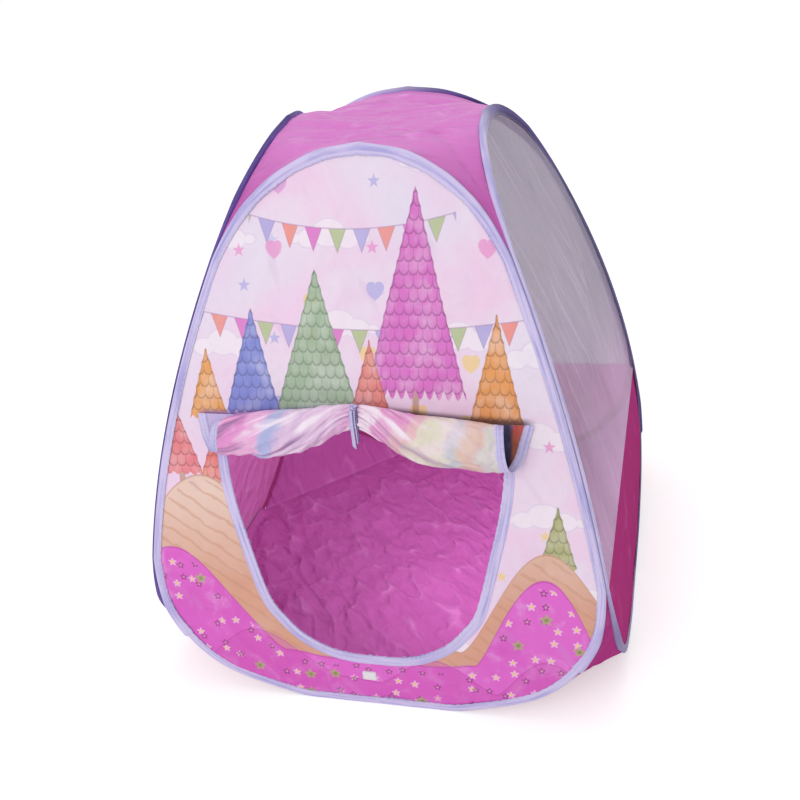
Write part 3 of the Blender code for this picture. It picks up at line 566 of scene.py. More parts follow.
def tape_finish(name, edge, dark=None, facing=False, lit=0.0, foot=0.0):
    """Tape with stitches near its edge.

    dark is the violet part of its width, on its first half and then on its second: partly the navy
    casing, partly painted shade. lit makes the violet paler, as painted light, and foot adds it near
    the ground, as painted shade. facing gives its inner leg the band's colour.
    """
    tape = Finish(name, Sheen_Weight=0.05, Sheen_Roughness=0.4, Specular_IOR_Level=0.3)
    flat, along, across = tape.cut()
    twill = ((along + across) * (2 * math.pi / 0.0011)).math("SINE")
    rows = (across * (2 * math.pi / 0.0007)).math("SINE")
    patches = tape.noise(flat, 14.0, 3.0, 0.6)
    streaks = tape.noise(tape.place(along * 60, across * 500), 1.0, 2.0)
    pulled = tape.noise(tape.place(along * 9, across * 260), 1.0, 2.0)
    from_edge = edge - abs(across)
    row = abs(from_edge - 0.0018).below(0.00028, 0.00012)
    dash = abs((along / STITCH_PITCH).math("FRACT") - 0.5).below(0.36, 0.06)
    stitch = row * dash
    pucker = (along * (2 * math.pi / (STITCH_PITCH * 2.5))).math("SINE") + patches * 3 - 1.5
    pucker = pucker * from_edge.below(0.004, 0.003)
    share = (pulled - 0.42) * 3.2 + (patches - 0.5) * 1.2 + (streaks - 0.5) * 0.5
    colour = tape.blend(LAVENDER, LAVENDER_DEEP, share)
    # Painted highlight: the tape is paler where its puckers rise.
    colour = tape.blend(colour, shown(228, 222, 252), (pucker * 0.22).most(0.0))
    colour = tape.blend(colour, LAVENDER_DEEP, row * 0.45)
    if dark:
        wander = (tape.noise(flat, 5.0, 1.0) - 0.5) * 0.003
        moved = across + wander
        halves = [moved.above(low, 0.0003) * moved.below(high, 0.0003) for low, high in dark]
        second = along.above(LOOP_LENGTH / 2, 0.10)
        band = halves[0] + (halves[1] - halves[0]) * second
        from_foot = LOOP_LENGTH / 2 - abs(along - LOOP_LENGTH / 2)
        band = band.most(from_foot.below(0.44, 0.05) * foot)
        # The violet is partly the navy casing and partly painted shade, more of it near the ground where
        # foot asks; lit moves it towards the paler violet as painted light.
        violet = tape.blend(VIOLET, VIOLET_LIT, (pulled - 0.45) * 3 + (streaks - 0.5) + lit)
        colour = tape.blend(colour, violet, band)
    colour = tape.blend(colour, shown(236, 232, 252), stitch * 0.8)
    if facing:
        from_foot = LOOP_LENGTH / 2 - abs(along - LOOP_LENGTH / 2)
        inside = across.below(-0.0030, 0.0004) * from_foot.below(SEAM_RUN, 0.001)
        colour = tape.blend(colour, shown(182, 68, 136), inside)
    height = twill * 0.00004 + rows * 0.00002 + stitch * 0.00022 - row * 0.00012 + pucker * 0.00022
    return tape.finish(colour, 0.62 + (streaks - 0.5) * 0.2, height)


SLEEVE_LEG = 0.0095
SLEEVE_HALF_TAPE = 0.0148
SEAM_HEIGHT = 0.2227
SEAM_RUN = float(np.interp(SEAM_HEIGHT, LOOP[:300, 1], run_lengths(LOOP)[:300]))
SLEEVE_VIOLET = {
    # the violet on each loop's tape, first half and second (navy casing and painted shade), and what else
    # differs
    "front": ((-0.0060, 0.0002), (-0.0060, 0.0002), {}),
    "right": ((-0.0060, 0.0180), (-0.0070, -0.0018), {"facing": True, "foot": 0.6}),
    "back": ((0.0052, 0.0078), (-0.0110, 0.0110), {"facing": True}),
    "left": ((-0.0110, 0.0110), (-0.0110, 0.0110), {"facing": True, "lit": 0.45}),
}
sleeve_tapes = {
    name: tape_finish(f"{name}_loop_tape", SLEEVE_HALF_TAPE, (first, second), **others)
    for name, (first, second, others) in SLEEVE_VIOLET.items()
}
binding_tape = tape_finish("door_binding_tape", 0.0150)
flap_tape = tape_finish("flap_edge_tape", 0.0055)
# The ribbon's violet stripe down one side, and the violet over most of the shaded tail, are painted
# shade.
ribbon_cloth = tape_finish("tie_ribbon", 0.0037, ((0.0013, 0.0040), (0.0013, 0.0040)))
tail_cloth = tape_finish("tie_tail_shaded", 0.0030, ((-0.0006, 0.0040), (-0.0006, 0.0040)))
print("band's seam is", round(SEAM_RUN, 3), "m along the loop")

# %% [markdown]
# ## The ribbon's loose ends
# The ribbon is knotted in front of the roll and its two cut ends hang from the knot, limp and
# without curl. They are free cords, so each has its real length and its route. The ends lie
# close to the roll, bow out over its fullest part and drop straight below it.

# %% Tie tails
CLOTH_OUT = 0.0003
TIE_WALL = 0.0008
KNOT_ANGLE, KNOT_SIZE = 195, (0.0125, 0.0075, 0.0105)
TAIL_WIDTH = 0.0055
TAIL_SHAPE = ((0.0, 0.0), (0.5, 0.10), (0.9, 0.26), (1.0, 0.5), (0.96, 0.75), (1.0, 1.0))
TAILS = {"tie_tail_left": (0.058, -0.24, 1), "tie_tail_right": (0.049, 0.26, -1)}


def tied_place(degrees, clearance):
    """A place on the roll under the ribbon, as (forward, height), and its outward direction."""
    down = roll_run(degrees)
    steps = down + np.array([-0.0004, 0.0004])
    out, height = roll_place(np.zeros(2), steps, CLOTH_OUT + clearance, 0.0)
    places = on_side(0, np.zeros(2), out, height)
    seen = np.stack([-places[:, 1], places[:, 2]], -1)
    along = (seen[1] - seen[0]) / np.linalg.norm(seen[1] - seen[0])
    return seen.mean(axis=0), np.array([along[1], -along[0]])


def knot_place():
    place, facing = tied_place(KNOT_ANGLE, 0.0003 + TIE_WALL)
    return place + facing * (0.0003 + KNOT_SIZE[1] / 2), facing


def ribbon_strip(name, path, width, breadth, rows, twist=0.0, ripple=0.0, slant=0.0):
    """A ribbon along a path of (forward, height), with its width across the tent."""
    line = smooth_through(path, 12)
    length = run_lengths(line)[-1]
    last = line[-1] - line[-2]
    whole = np.vstack([line, line[-1] + last / np.linalg.norm(last) * slant * length])

    def place(across, along):
        along = along * (1 + slant * (across - 0.5) * math.copysign(1, twist))
        spine = along_line(whole, along * length)
        ahead = np.gradient(spine, axis=0)
        ahead = ahead / np.linalg.norm(ahead, axis=-1, keepdims=True)
        side = (across - 0.5) * width
        cup = ripple * np.cos(math.pi * 2 * across) + ripple * np.sin(along * 9 + across * 4)
        bend = twist * along * side
        forward = spine[..., 0] + ahead[..., 1] * (cup + bend)
        height = spine[..., 1] - ahead[..., 0] * (cup + bend)
        lying = side * np.sqrt(1 - (twist * along) ** 2 * 0.5)
        points = np.stack([breadth + lying, -forward, height], -1)
        return points, (along * length, side)

    return cloth_grid(name, 8, rows, place), line, length


def tail_route(name):
    length = TAILS[name][0]
    knot, facing = knot_place()
    start = knot - np.array([-facing[1], facing[0]]) * (KNOT_SIZE[2] / 2 + 0.0003)
    clearance = 0.0006 + TIE_WALL * 1.5
    front = max(tied_place(degrees, clearance)[0][0] for degrees in (90, 120, 150, 180))
    reach = front - start[0]
    return [(start[0] + reach * x, start[1] - length * z) for x, z in TAIL_SHAPE]


for name, (_, spread, hand) in TAILS.items():
    breadth = spread * KNOT_SIZE[0]
    tail, line, length = ribbon_strip(
        name + "_ribbon", tail_route(name), TAIL_WIDTH, breadth,
        rows=60, twist=hand * 0.45, ripple=0.0002, slant=0.13,
    )
    thicken(tail, 0.0005, ribbon_cloth if hand > 0 else tail_cloth)
    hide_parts(name)
    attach(tail, "door_roll")
    print(name, "hangs", round(length, 4), "m")

# %% [markdown]
# ## Tape sleeves on the loops
# Each sleeve is one tape folded over the wire, so its section is a U: a round back over the wire
# and two legs that hold the edge of the panel. That section is carried round the loop. The legs
# are sewn down, so their edges pucker a little at every few stitches.

# %% Sleeves
TUBE = 0.00245
TUBE_FULL = 0.0052
LEG_GAP = 0.00095
SLEEVE_STEPS = 520


def sleeve_section(tube):
    """The folded tape's section from its back's middle to one edge: out, and up from the face."""
    angles = np.radians(np.linspace(0, 112, 7))
    round_back = np.stack([tube * np.cos(angles), tube * np.sin(angles)], -1)
    leg = np.linspace(0, 1, 6)[1:, None] ** 0.9
    edge = np.array([-SLEEVE_LEG, LEG_GAP])
    return np.vstack([round_back, round_back[-1] + (edge - round_back[-1]) * leg])


def carried(outline, distances):
    """Points along a flat outline and the directions out of it."""
    spine = along_line(outline, distances)
    step = 0.002
    ahead = along_line(outline, np.minimum(distances + step, run_lengths(outline)[-1]))
    ahead = ahead - along_line(outline, np.maximum(distances - step, 0))
    ahead = ahead / np.linalg.norm(ahead, axis=-1, keepdims=True)
    return spine, np.stack([ahead[..., 1], -ahead[..., 0]], -1)


def loop_sleeve(side):
    thin, full = sleeve_section(TUBE), sleeve_section(TUBE_FULL)
    both_sides = np.vstack([thin[:0:-1] * (1, -1), thin])
    both_full = np.vstack([full[:0:-1] * (1, -1), full])
    across_tape = run_lengths(both_sides)
    across_tape = across_tape - across_tape[-1] / 2
    count = len(both_sides)

    def place(across, along):
        distance = along * LOOP_LENGTH
        spine, outward = carried(LOOP, distance)
        clear = half_width(spine[..., 1]) - CORNER_INSET - np.abs(spine[..., 0])
        free = np.clip(clear / 0.02, 0, 1) * (spine[..., 1] > 0.1)
        tape = across * (count - 1)
        thin_part = np.stack([np.interp(tape, range(count), axis) for axis in both_sides.T], -1)
        full_part = np.stack([np.interp(tape, range(count), axis) for axis in both_full.T], -1)
        section = thin_part + (full_part - thin_part) * free[..., None]
        spread = np.interp(tape, range(count), across_tape)
        leg = np.clip(np.abs(spread) / SLEEVE_HALF_TAPE, 0, 1) ** 3
        gather = folds(distance, spread * 0.2, 0.011, 90, 8, 40 + side)
        wander = folds(distance, spread * 0.0, 0.09, 90, 4, 60 + side)
        up = section[..., 1] + np.sign(spread) * leg * np.maximum(gather, -0.6) * 0.00028
        out = section[..., 0] * (1 + 0.05 * wander * free) + leg * gather * 0.00035
        flat = spine + outward * out[..., None]
        points = on_side(side, flat[..., 0], up, np.maximum(flat[..., 1], 0.0001))
        return points, (distance, spread)

    name = f"{SIDES[side]}_loop_sleeve"
    piece = sew_shut(cloth_grid(name + "_tape", count - 1, SLEEVE_STEPS, place))
    thicken(piece, 0.0005, sleeve_tapes[SIDES[side]])
    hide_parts(name)
    return piece


sleeves = [loop_sleeve(side) for side in range(len(SIDES))]

# %% [markdown]
# ## Wires that bend with the tent
# The spring wires and the crimped ferrules lie inside the sleeves. The front and back ones stay
# as they are and only get their steel and zinc. The side ones must bend when the tent folds, so
# each is made a merged copy, a piece of its own.

# %% Wires
steel = Finish("spring_steel", Metallic=1.0)
grain = steel.noise(steel.node("TexCoord", None, None, "Object"), 900.0, 3.0)
steel_finish = steel.finish(
    steel.blend(shown(150, 150, 156), shown(190, 190, 194), grain), 0.28 + grain * 0.2, grain * 0.00002,
)
zinc = Finish("zinc_ferrule", Metallic=1.0)
grain = zinc.noise(zinc.node("TexCoord", None, None, "Object"), 500.0, 4.0)
zinc_finish = zinc.finish(
    zinc.blend(shown(168, 170, 174), shown(206, 208, 210), grain), 0.35 + grain * 0.25, grain * 0.00004,
)


def bending_copy(node):
    """A merged copy of a hidden metal part, as a piece of its own that can bend."""
    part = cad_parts[node]
    piece = bpy.data.objects.new(node + "_sprung", part.data.copy())
    bpy.context.scene.collection.objects.link(piece)
    sew_shut(piece, 0.00001)
    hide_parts(node)
    return piece


metal = {"wire_loop": steel_finish, "wire_ferrule": zinc_finish}
bending = []
for side, name in enumerate(SIDES):
    for part, surface in metal.items():
        node = f"{name}_{part}"
        piece = bending_copy(node) if name in ("left", "right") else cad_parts[node]
        piece.data.materials.clear()
        piece.data.materials.append(surface)
        if name in ("left", "right"):
            bending.append(piece)
print(len(bending), "metal parts bend with the sides")

# %% [markdown]
# ## The printed picture
# The front carries a storybook garden in watercolour: a pale lilac sky with clouds, hearts and
# stars, strings of flags, cone-shaped trees with rows of scalloped leaves, and magenta hills with
# flowers along the foot. Each motif is a shape worked out from distances, so it stays sharp at
# any size. Motifs that recur are drawn once in a cell and repeated, each with its own chance.

# %% Print motifs
SKY, SKY_PINK, SKY_BLUE = shown(243, 226, 244), shown(247, 212, 240), shown(234, 230, 248)
CLOUD = shown(251, 240, 250)
TREES = (
    # middle, foot, tip, half width, leaf colour
    (0.080, 0.500, 0.755, 0.068, shown(226, 116, 206)),
    (-0.060, 0.470, 0.655, 0.060, shown(166, 190, 160)),
    (0.190, 0.455, 0.600, 0.038, shown(240, 160, 84)),
    (-0.155, 0.465, 0.605, 0.041, shown(132, 142, 220)),
    (0.016, 0.470, 0.565, 0.028, shown(236, 136, 126)),
    (-0.224, 0.455, 0.550, 0.030, shown(242, 166, 84)),
    (-0.274, 0.372, 0.462, 0.034, shown(240, 132, 138)),
    (-0.218, 0.362, 0.440, 0.028, shown(238, 122, 112)),
    (0.272, 0.262, 0.352, 0.026, shown(182, 182, 124)),
)
FLAG_COLOURS = (shown(190, 180, 232), shown(244, 156, 150), shown(230, 134, 210), shown(190, 202, 156))


def cells(cloth, across, height, size, seed):
    """Splits the cloth into cells: where each point lies in its own, and three chances for it."""
    column = (across / size + seed).math("FLOOR")
    row = (height / size + seed * 0.37).math("FLOOR")
    chances = cloth.node(
        "TexWhiteNoise", {"noise_dimensions": "3D"}, {"Vector": cloth.place(column, row, seed)}, "Color",
    )
    parts = ("Red", "Green", "Blue")
    chance = [cloth.node("SeparateColor", None, {"Color": chances}, part) for part in parts]
    x = across / size + seed - column - 0.5 - (chance[0] - 0.5) * 0.42
    z = height / size + seed * 0.37 - row - 0.5 - (chance[1] - 0.5) * 0.42
    return x, z, chance


def star(x, z, points=5, inner=0.42):
    """How far out of a star of radius 1 a point lies, less than 0 inside."""
    turn = math.pi / points
    angle = x.math("ARCTAN2", z)
    folded = (angle + turn).math("FLOORED_MODULO", 2 * turn) - turn
    reach = (x * x + z * z).math("SQRT")
    edge = np.array([inner * math.cos(turn) - 1, inner * math.sin(turn)])
    normal = np.array([edge[1], -edge[0]]) / np.linalg.norm(edge)
    aside = folded.math("COSINE") * normal[0] + abs(folded.math("SINE")) * normal[1]
    return reach * aside - normal[0]


def heart(x, z):
    """Below 0 inside a heart about 2 wide."""
    round_part = x * x + z * z - 1
    return round_part * round_part * round_part - x * x * z * z * z


def hill_line(across, base, rounds, ripple=0.004):
    """The top edge of the hills: a low line with round tops, each with a place, reach and rise."""
    edge = (across * 43 + base * 90).math("SINE") * ripple + base
    for middle, reach, rise in rounds:
        aside = (across - middle) / reach
        edge = edge + (1 - (aside * aside).least(1.0)).math("POWER", 1.5) * rise
    return edge


# %% [markdown]
# ## Painting the garden
# The picture is built up as a painter would: sky, clouds, small motifs, trees, then the hills in
# front. Under all of it lies the grain of watercolour, and each colour pools darker at its edge.
# The reverse of the cloth shows the same picture, paler, because the ink only soaks through.

# %% Print finish
def leaf_rows(across, height, row=0.0165, leaf=0.013):
    """The dark line under each scalloped leaf, from 0 to 1."""
    down = height / row
    level = down.math("FLOOR")
    part = down - level
    bulge = abs((across / leaf + level * 0.5).math("FRACT") - 0.5) * 2
    lap = part - bulge * bulge * 0.34
    beside = bulge.above(0.9, 0.08) * part.above(0.34, 0.1)
    shade = (0.55 - lap).most(0.0) * lap.above(0.0, 0.02)
    return (abs(lap).below(0.10, 0.08) + beside * 0.6 + shade * 0.5).least(1.0)


def garden_print(name, strength):
    """The whole picture. strength is 1 on the printed side and less where the ink shows through."""
    cloth = Finish(name, Sheen_Weight=0.03, Sheen_Roughness=0.4, Specular_IOR_Level=0.3)
    flat, across, height = cloth.cut()
    wash = cloth.noise(flat, 6.0, 5.0, 0.62, 0.6)
    pools = cloth.noise(flat, 26.0, 4.0, 0.6, 0.4)
    shift = (pools - 0.5) * 0.004
    picture = cloth.blend(SKY_PINK, SKY, (wash - 0.42) * 5)
    picture = cloth.blend(picture, SKY_BLUE, (cloth.noise(flat, 4.0, 3.0) - 0.45) * 4)

    x, z, chance = cells(cloth, across, height * 1.35, 0.150, 3.7)
    puffs = [(x * x + z * z).math("SQRT") - 0.17]
    for aside, size in ((-0.19, 0.12), (0.18, 0.13), (0.33, 0.07), (-0.32, 0.07)):
        moved = x - aside
        lower = z + 0.06
        puffs.append((moved * moved + lower * lower).math("SQRT") - size)
    puff = puffs[0]
    for other in puffs[1:]:
        puff = puff.least(other)
    cloud = puff.below(0.0, 0.025) * chance[2].above(0.35, 0.01)
    rim = abs(puff + 0.01).below(0.012, 0.01) * chance[2].above(0.35, 0.01)
    picture = cloth.blend(picture, CLOUD, cloud * 0.75)
    picture = cloth.blend(picture, shown(222, 196, 232), rim * 0.4)

    for size, seed, shape, soft in ((0.062, 1.3, star, 0.08), (0.071, 5.2, heart, 0.02)):
        x, z, chance = cells(cloth, across + shift, height, size, seed)
        inside = shape(x / 0.15, z / 0.15)
        mark = inside.below(0.0, soft) * chance[2].above(0.66, 0.01)
        hue = cloth.blend(shown(248, 214, 150), shown(240, 160, 214), chance[0].above(0.5, 0.01))
        hue = cloth.blend(hue, shown(190, 184, 236), chance[1].above(0.6, 0.01))
        picture = cloth.blend(picture, hue, mark * 0.85)

    for middle, low, bow, reach in ((-0.01, 0.700, 0.9, 0.145), (0.02, 0.575, 0.35, 0.25)):
        aside = across - middle
        string = height - low - aside * aside * bow
        flag = aside / 0.034
        column = flag.math("FLOOR")
        inner = abs(flag - column - 0.5)
        tooth = inner - 0.36 * (1 + string / 0.030)
        pennant = tooth.below(0.0, 0.02) * string.below(0.0, 0.0005) * string.above(-0.030, 0.0005)
        pennant = pennant * abs(aside).below(reach, 0.001)
        choice = (column + 12).math("FLOORED_MODULO", 4)
        hue = FLAG_COLOURS[0]
        for number in (1, 2, 3):
            hue = cloth.blend(hue, FLAG_COLOURS[number], choice.above(number - 0.5, 0.01))
        picture = cloth.blend(picture, hue, pennant * (0.7 + wash * 0.5))
        line = abs(string).below(0.0009, 0.0004) * abs(aside).below(reach, 0.001)
        edge = (abs(tooth).below(0.03, 0.02) * pennant + line).least(1.0)
        picture = cloth.blend(picture, shown(178, 150, 190), edge * 0.55)

    lines = leaf_rows(across + shift * 0.4, height + shift * 0.3)
    for middle, foot, tip, spread, leaf in TREES:
        aside = abs(across + shift * 0.5 - middle)
        share = (tip - height) / (tip - foot)
        frill = ((across - middle) * (math.pi / 0.013)).math("SINE")
        edge = aside - share * spread + abs((height * (math.pi / 0.0165)).math("SINE")) * 0.0012
        low = share - 1 - abs(frill) * 0.05
        body = edge.below(0.0, 0.0006) * low.below(0.0, 0.008)
        trunk = aside.below(0.0045, 0.0006) * share.above(1.0, 0.01) * share.below(1.22, 0.02)
        deep = tuple(value * 0.5 for value in leaf)
        pale = tuple(value + (1 - value) * 0.35 for value in leaf)
        green = cloth.blend(leaf, pale, (pools - 0.42) * 2.6)
        green = cloth.blend(green, deep, lines * 0.7 + edge.above(-0.0022, 0.0018) * 0.5)
        picture = cloth.blend(picture, shown(196, 156, 134), trunk * 0.8)
        picture = cloth.blend(picture, green, body * 0.95)

    far = height - hill_line(across, 0.11, ((-0.25, 0.17, 0.26), (0.26, 0.13, 0.165)))
    meadow = cloth.blend(shown(222, 162, 134), shown(240, 208, 192), (height - 0.20) * 7)
    picture = cloth.blend(picture, meadow, far.below(0.0, 0.0008) * 0.95)
    picture = cloth.blend(picture, shown(206, 152, 128), abs(far).below(0.0014, 0.001) * 0.7)
    furrow = ((height * 1.6 + across) * 160 + pools * 6).math("SINE").above(0.80, 0.15)
    picture = cloth.blend(picture, shown(206, 150, 122), furrow * far.below(-0.006, 0.002) * 0.45)

    near = height - hill_line(across, 0.085, ((-0.31, 0.17, 0.165), (0.25, 0.10, 0.155)))
    hills = near.below(0.0, 0.0008)
    grass = cloth.blend(shown(232, 110, 212), shown(218, 84, 192), (wash - 0.45) * 3)
    grass = cloth.blend(grass, shown(236, 146, 226), (pools - 0.54) * 4)
    picture = cloth.blend(picture, grass, hills)
    ridge = abs(near + 0.001).below(0.0016, 0.001)
    low_rounds = ((-0.18, 0.12, 0.075), (0.09, 0.09, 0.045), (0.26, 0.08, 0.06))
    mounds = height - hill_line(across, 0.042, low_rounds)
    picture = cloth.blend(picture, shown(214, 84, 186), mounds.below(0.0, 0.001) * 0.45)
    ridge = (ridge + abs(mounds).below(0.0012, 0.001)).least(1.0)
    picture = cloth.blend(picture, shown(196, 72, 166), ridge * 0.6)
    for size, seed, hue, heart_hue, rare in (
        (0.030, 2.6, shown(250, 206, 236), shown(246, 210, 120), 0.45),
        (0.026, 7.9, shown(146, 54, 124), shown(226, 150, 200), 0.55),
        (0.041, 9.1, shown(176, 180, 104), shown(140, 148, 86), 0.62),
    ):
        x, z, chance = cells(cloth, across + shift, height, size, seed)
        turn = x.math("ARCTAN2", z)
        reach = (x * x + z * z).math("SQRT")
        petal = reach - 0.17 - (turn * 5).math("COSINE") * 0.055
        bloom = petal.below(0.0, 0.03) * chance[2].above(rare, 0.01) * near.below(-0.012, 0.002)
        picture = cloth.blend(picture, hue, bloom * 0.8)
        picture = cloth.blend(picture, heart_hue, bloom * reach.below(0.075, 0.02))

    if strength < 1:
        picture = cloth.blend(shown(240, 226, 242), picture, strength)
    picture = cloth.blend(picture, shown(255, 250, 255), (pools - 0.5).most(0.0) * 0.35)
    wrinkle = crumple(cloth, flat, 0.034)
    drawn = crumple(cloth, flat, 0.06, (1.0, 0.35), math.radians(-28))
    height_map = wrinkle * 0.0009 + drawn * 0.0020 + weave(cloth, across, height) * 0.000022
    # Painted shade: the print is a little darker in the hollows of its crumples and drawn folds.
    picture = cloth.blend(picture, shown(206, 176, 214), (0.16 - wrinkle).most(0.0) * 0.6)
    picture = cloth.blend(picture, shown(196, 164, 208), (0.13 - drawn).most(0.0) * 2.4)
    # A painted shadow: a dark band on the print just above the roll, where the slit behind the roll's top
    # lies in shade, plum on the left and dark brown on the right.
    lifted = (across * across * -70.0).math("EXPONENT") * 0.012
    painted_slit_shadow = abs(height - 0.4555 - lifted - across * 0.006).below(0.0075, 0.0045)
    painted_slit_shadow = painted_slit_shadow * abs(across).below(0.235, 0.012)
    shade = cloth.blend(shown(120, 92, 168), shown(74, 44, 60), across.above(-0.01, 0.03))
    picture = cloth.blend(picture, shade, painted_slit_shadow * 0.85)
    return cloth.finish(picture, 0.46 + (pools - 0.5) * 0.2, height_map)


front_print = garden_print("garden_print", 1.0)
front_reverse = garden_print("garden_print_reverse", 0.45)
print("print has", len(front_print.node_tree.nodes), "nodes")

# %% [markdown]
# ## The front panel
# One sheet of printed cloth with a doorway cut out of it. As a mesh it is a ring: from the
# doorway's edge outwards to the loop. Its edges end inside the tapes. It is pulled tight by the
# spring of the loop, so it has long shallow folds near its edges and hardly any in the middle.

# %% Front panel
DOOR_FOOT, DOOR_TOP, DOOR_HALF = 0.0755, 0.446, 0.214
DOOR_SHARES = (
    (1, 1), (1, 0.84), (0.967, 0.69), (0.902, 0.525), (0.79, 0.275), (0.67, 0.165),
    (0.535, 0.085), (0.35, 0.026), (0.17, 0.003), (0, 0),
)
PANEL_TUCK = 0.0021
PATCH_ASIDE, PATCH_MIDDLE = -0.012, 0.0535


def door_outline():
    """The doorway's edge from its top right corner, down and round to its top left corner."""
    rise = DOOR_TOP - DOOR_FOOT
    right = smooth_through([(DOOR_HALF * x, DOOR_FOOT + rise * z) for x, z in DOOR_SHARES], 16)
    return np.vstack([right, right[-2::-1] * (-1, 1)])


DOOR_EDGE = door_outline()


def tucked_loop(inset=PANEL_TUCK):
    """The panel's own edge, just inside the wire."""
    distances = np.linspace(0, LOOP_LENGTH, 1200)
    spine, outward = carried(LOOP, distances)
    return spine - outward * inset


def door_ring():
    """The doorway's edge as a closed line from the middle of its foot, running to the right."""
    half = len(DOOR_EDGE) // 2
    right_up = DOOR_EDGE[half::-1]
    return np.vstack([right_up, right_up[::-1] * (-1, 1)])


def panel_ring(across, along):
    inner_line, outer_line = door_ring(), tucked_loop()
    inner = along_line(inner_line, across * run_lengths(inner_line)[-1])
    outer = along_line(outer_line, across * run_lengths(outer_line)[-1])
    flat = inner + (outer - inner) * along[..., None]
    x, z = flat[..., 0], flat[..., 1]
    free = np.sin(math.pi * along) ** 0.7
    tension = creases(x, z, 0.045, 11, 3.0, 58) * np.clip((z - 0.35) / 0.3, 0.2, 1)
    tension = tension + creases(x, z, 0.05, 12, 2.4, -42) * np.clip((0.34 - z) / 0.2, 0, 1)
    arch = np.exp(-(((x - 0.115 + 0.9 * (z - 0.66)) / 0.016) ** 2)) * (x > 0) * (z > 0.52)
    sewn_flat = np.clip(np.hypot(x - PATCH_ASIDE, (z - PATCH_MIDDLE) * 1.3) / 0.02 - 0.75, 0, 1)
    above_roll = np.exp(-(((z - 0.49) / 0.035) ** 2)) * np.clip((0.27 - np.abs(x)) / 0.03, 0, 1)
    steady = sewn_flat * (1 - 0.85 * above_roll)
    relief = 0.0040 * (tension - 0.2) + 0.0011 * folds(x, z, 0.16, 80, 40, 13) - 0.002 * arch
    return on_side(0, x, free * relief * steady, z), (x, z)


front_panel = sew_shut(cloth_grid("front_panel_cloth", 460, 60, panel_ring), turn_over=True)
thicken(front_panel, 0.0005, front_print, front_reverse)
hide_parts("front_panel")

# %% [markdown]
# ## Binding the doorway
# The cut edge of the doorway is bound in a broad lavender tape, folded over it and sewn through.
# Going round a curve, a straight tape gathers on its inner edge, so its legs ripple slightly.

# %% Door binding
BINDING_WIDTH = 0.0145
BINDING_FOLD = 0.0012


def binding_strip(across, along):
    edge = DOOR_EDGE[DOOR_EDGE[:, 1] < DOOR_TOP - 0.0001]
    length = run_lengths(edge)[-1]
    distance = along * length
    spine, outward = carried(edge, distance)
    spread = (across - 0.5) * 2 * (BINDING_WIDTH + BINDING_FOLD)
    fold = np.clip(np.abs(spread) / BINDING_FOLD, 0, 1)
    leg = np.clip(np.abs(spread) / BINDING_WIDTH, 0, 1)
    gather = folds(distance, spread * 0.3, 0.013, 90, 10, 21)
    rise = 0.00095 * np.sin(fold * math.pi / 2) + 0.0004 * leg ** 2 * np.maximum(gather, -0.4)
    up = np.sign(spread) * rise
    inwards = np.maximum(np.abs(spread) - BINDING_FOLD, 0) + 0.0002 * leg ** 3 * gather
    inwards = inwards - 0.0008 * (1 - fold)
    flat = spine + outward * inwards[..., None]
    return on_side(0, flat[..., 0], up, flat[..., 1]), (distance, spread)


door_binding = cloth_grid("door_binding_tape", 24, 360, binding_strip)
thicken(door_binding, 0.0005, binding_tape)
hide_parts("door_binding")

# %% [markdown]
# ## Net and band
# The other three sides are a fine net above and a band of magenta cloth below, sewn together a
# little over a quarter of the way up. Both pieces are ruled between two lines of the flat cut.

# %% Net and band
def split_loop():
    """The panel's edge below the seam and above it, each from left to right."""
    outline = tucked_loop()
    half = len(outline) // 2
    right = outline[:half + 1]
    cut = along_line(right, np.interp(SEAM_HEIGHT, right[:, 1], run_lengths(right)))
    low = np.vstack([right[right[:, 1] < SEAM_HEIGHT], cut])
    high = np.vstack([cut, right[right[:, 1] > SEAM_HEIGHT]])
    mirror = (-1, 1)
    return np.vstack([low[::-1] * mirror, low[1:]]), np.vstack([high * mirror, high[-2::-1]])


LOW_EDGE, HIGH_EDGE = split_loop()
SEAM_HALF = HIGH_EDGE[-1, 0]


def net_finish():
    """Fine net: thin threads round holes, grey, painted pink low down, with paler drawn threads."""
    net = Finish("grey_net", Sheen_Weight=0.05, Specular_IOR_Level=0.2)
    flat, across, height = net.cut()
    pitch = 0.0013
    rate = 2 * math.pi / pitch
    slanted = (across * rate).math("SINE") * (height * rate).math("SINE")
    holes = slanted.below(-0.35, 0.3)
    streaks = net.noise(net.place(across * 64 + height * 12, height * 3.0), 1.0, 3.0, 0.55)
    wide = net.noise(net.place(across * 9 + height * 3, height * 2.0), 1.0, 3.0, 0.6)
    drawn = streaks.above(0.60, 0.08)
    # Painted light: low down the net is painted pink, standing for the magenta band seen through it;
    # higher up it is grey.
    grey_and_painted_pink = net.blend(shown(240, 214, 244), shown(190, 182, 199), (height - 0.24) * 5)
    colour = net.blend(grey_and_painted_pink, shown(170, 162, 182), (wide - 0.4) * 1.6)
    colour = net.blend(colour, shown(224, 212, 228), drawn * 0.5)
    alpha = (0.54 + drawn * 0.05) - holes * 0.22
    pleats = streaks * 0.0014 + wide * 0.003
    return net.finish(colour, 0.75, pleats + slanted * 0.00004, alpha=alpha)


grey_net = net_finish()
# how a band's creases lie, in degrees, and how deep they are
SIDE_BAND, BACK_BAND = (80, 0.0035), (15, 0.008)


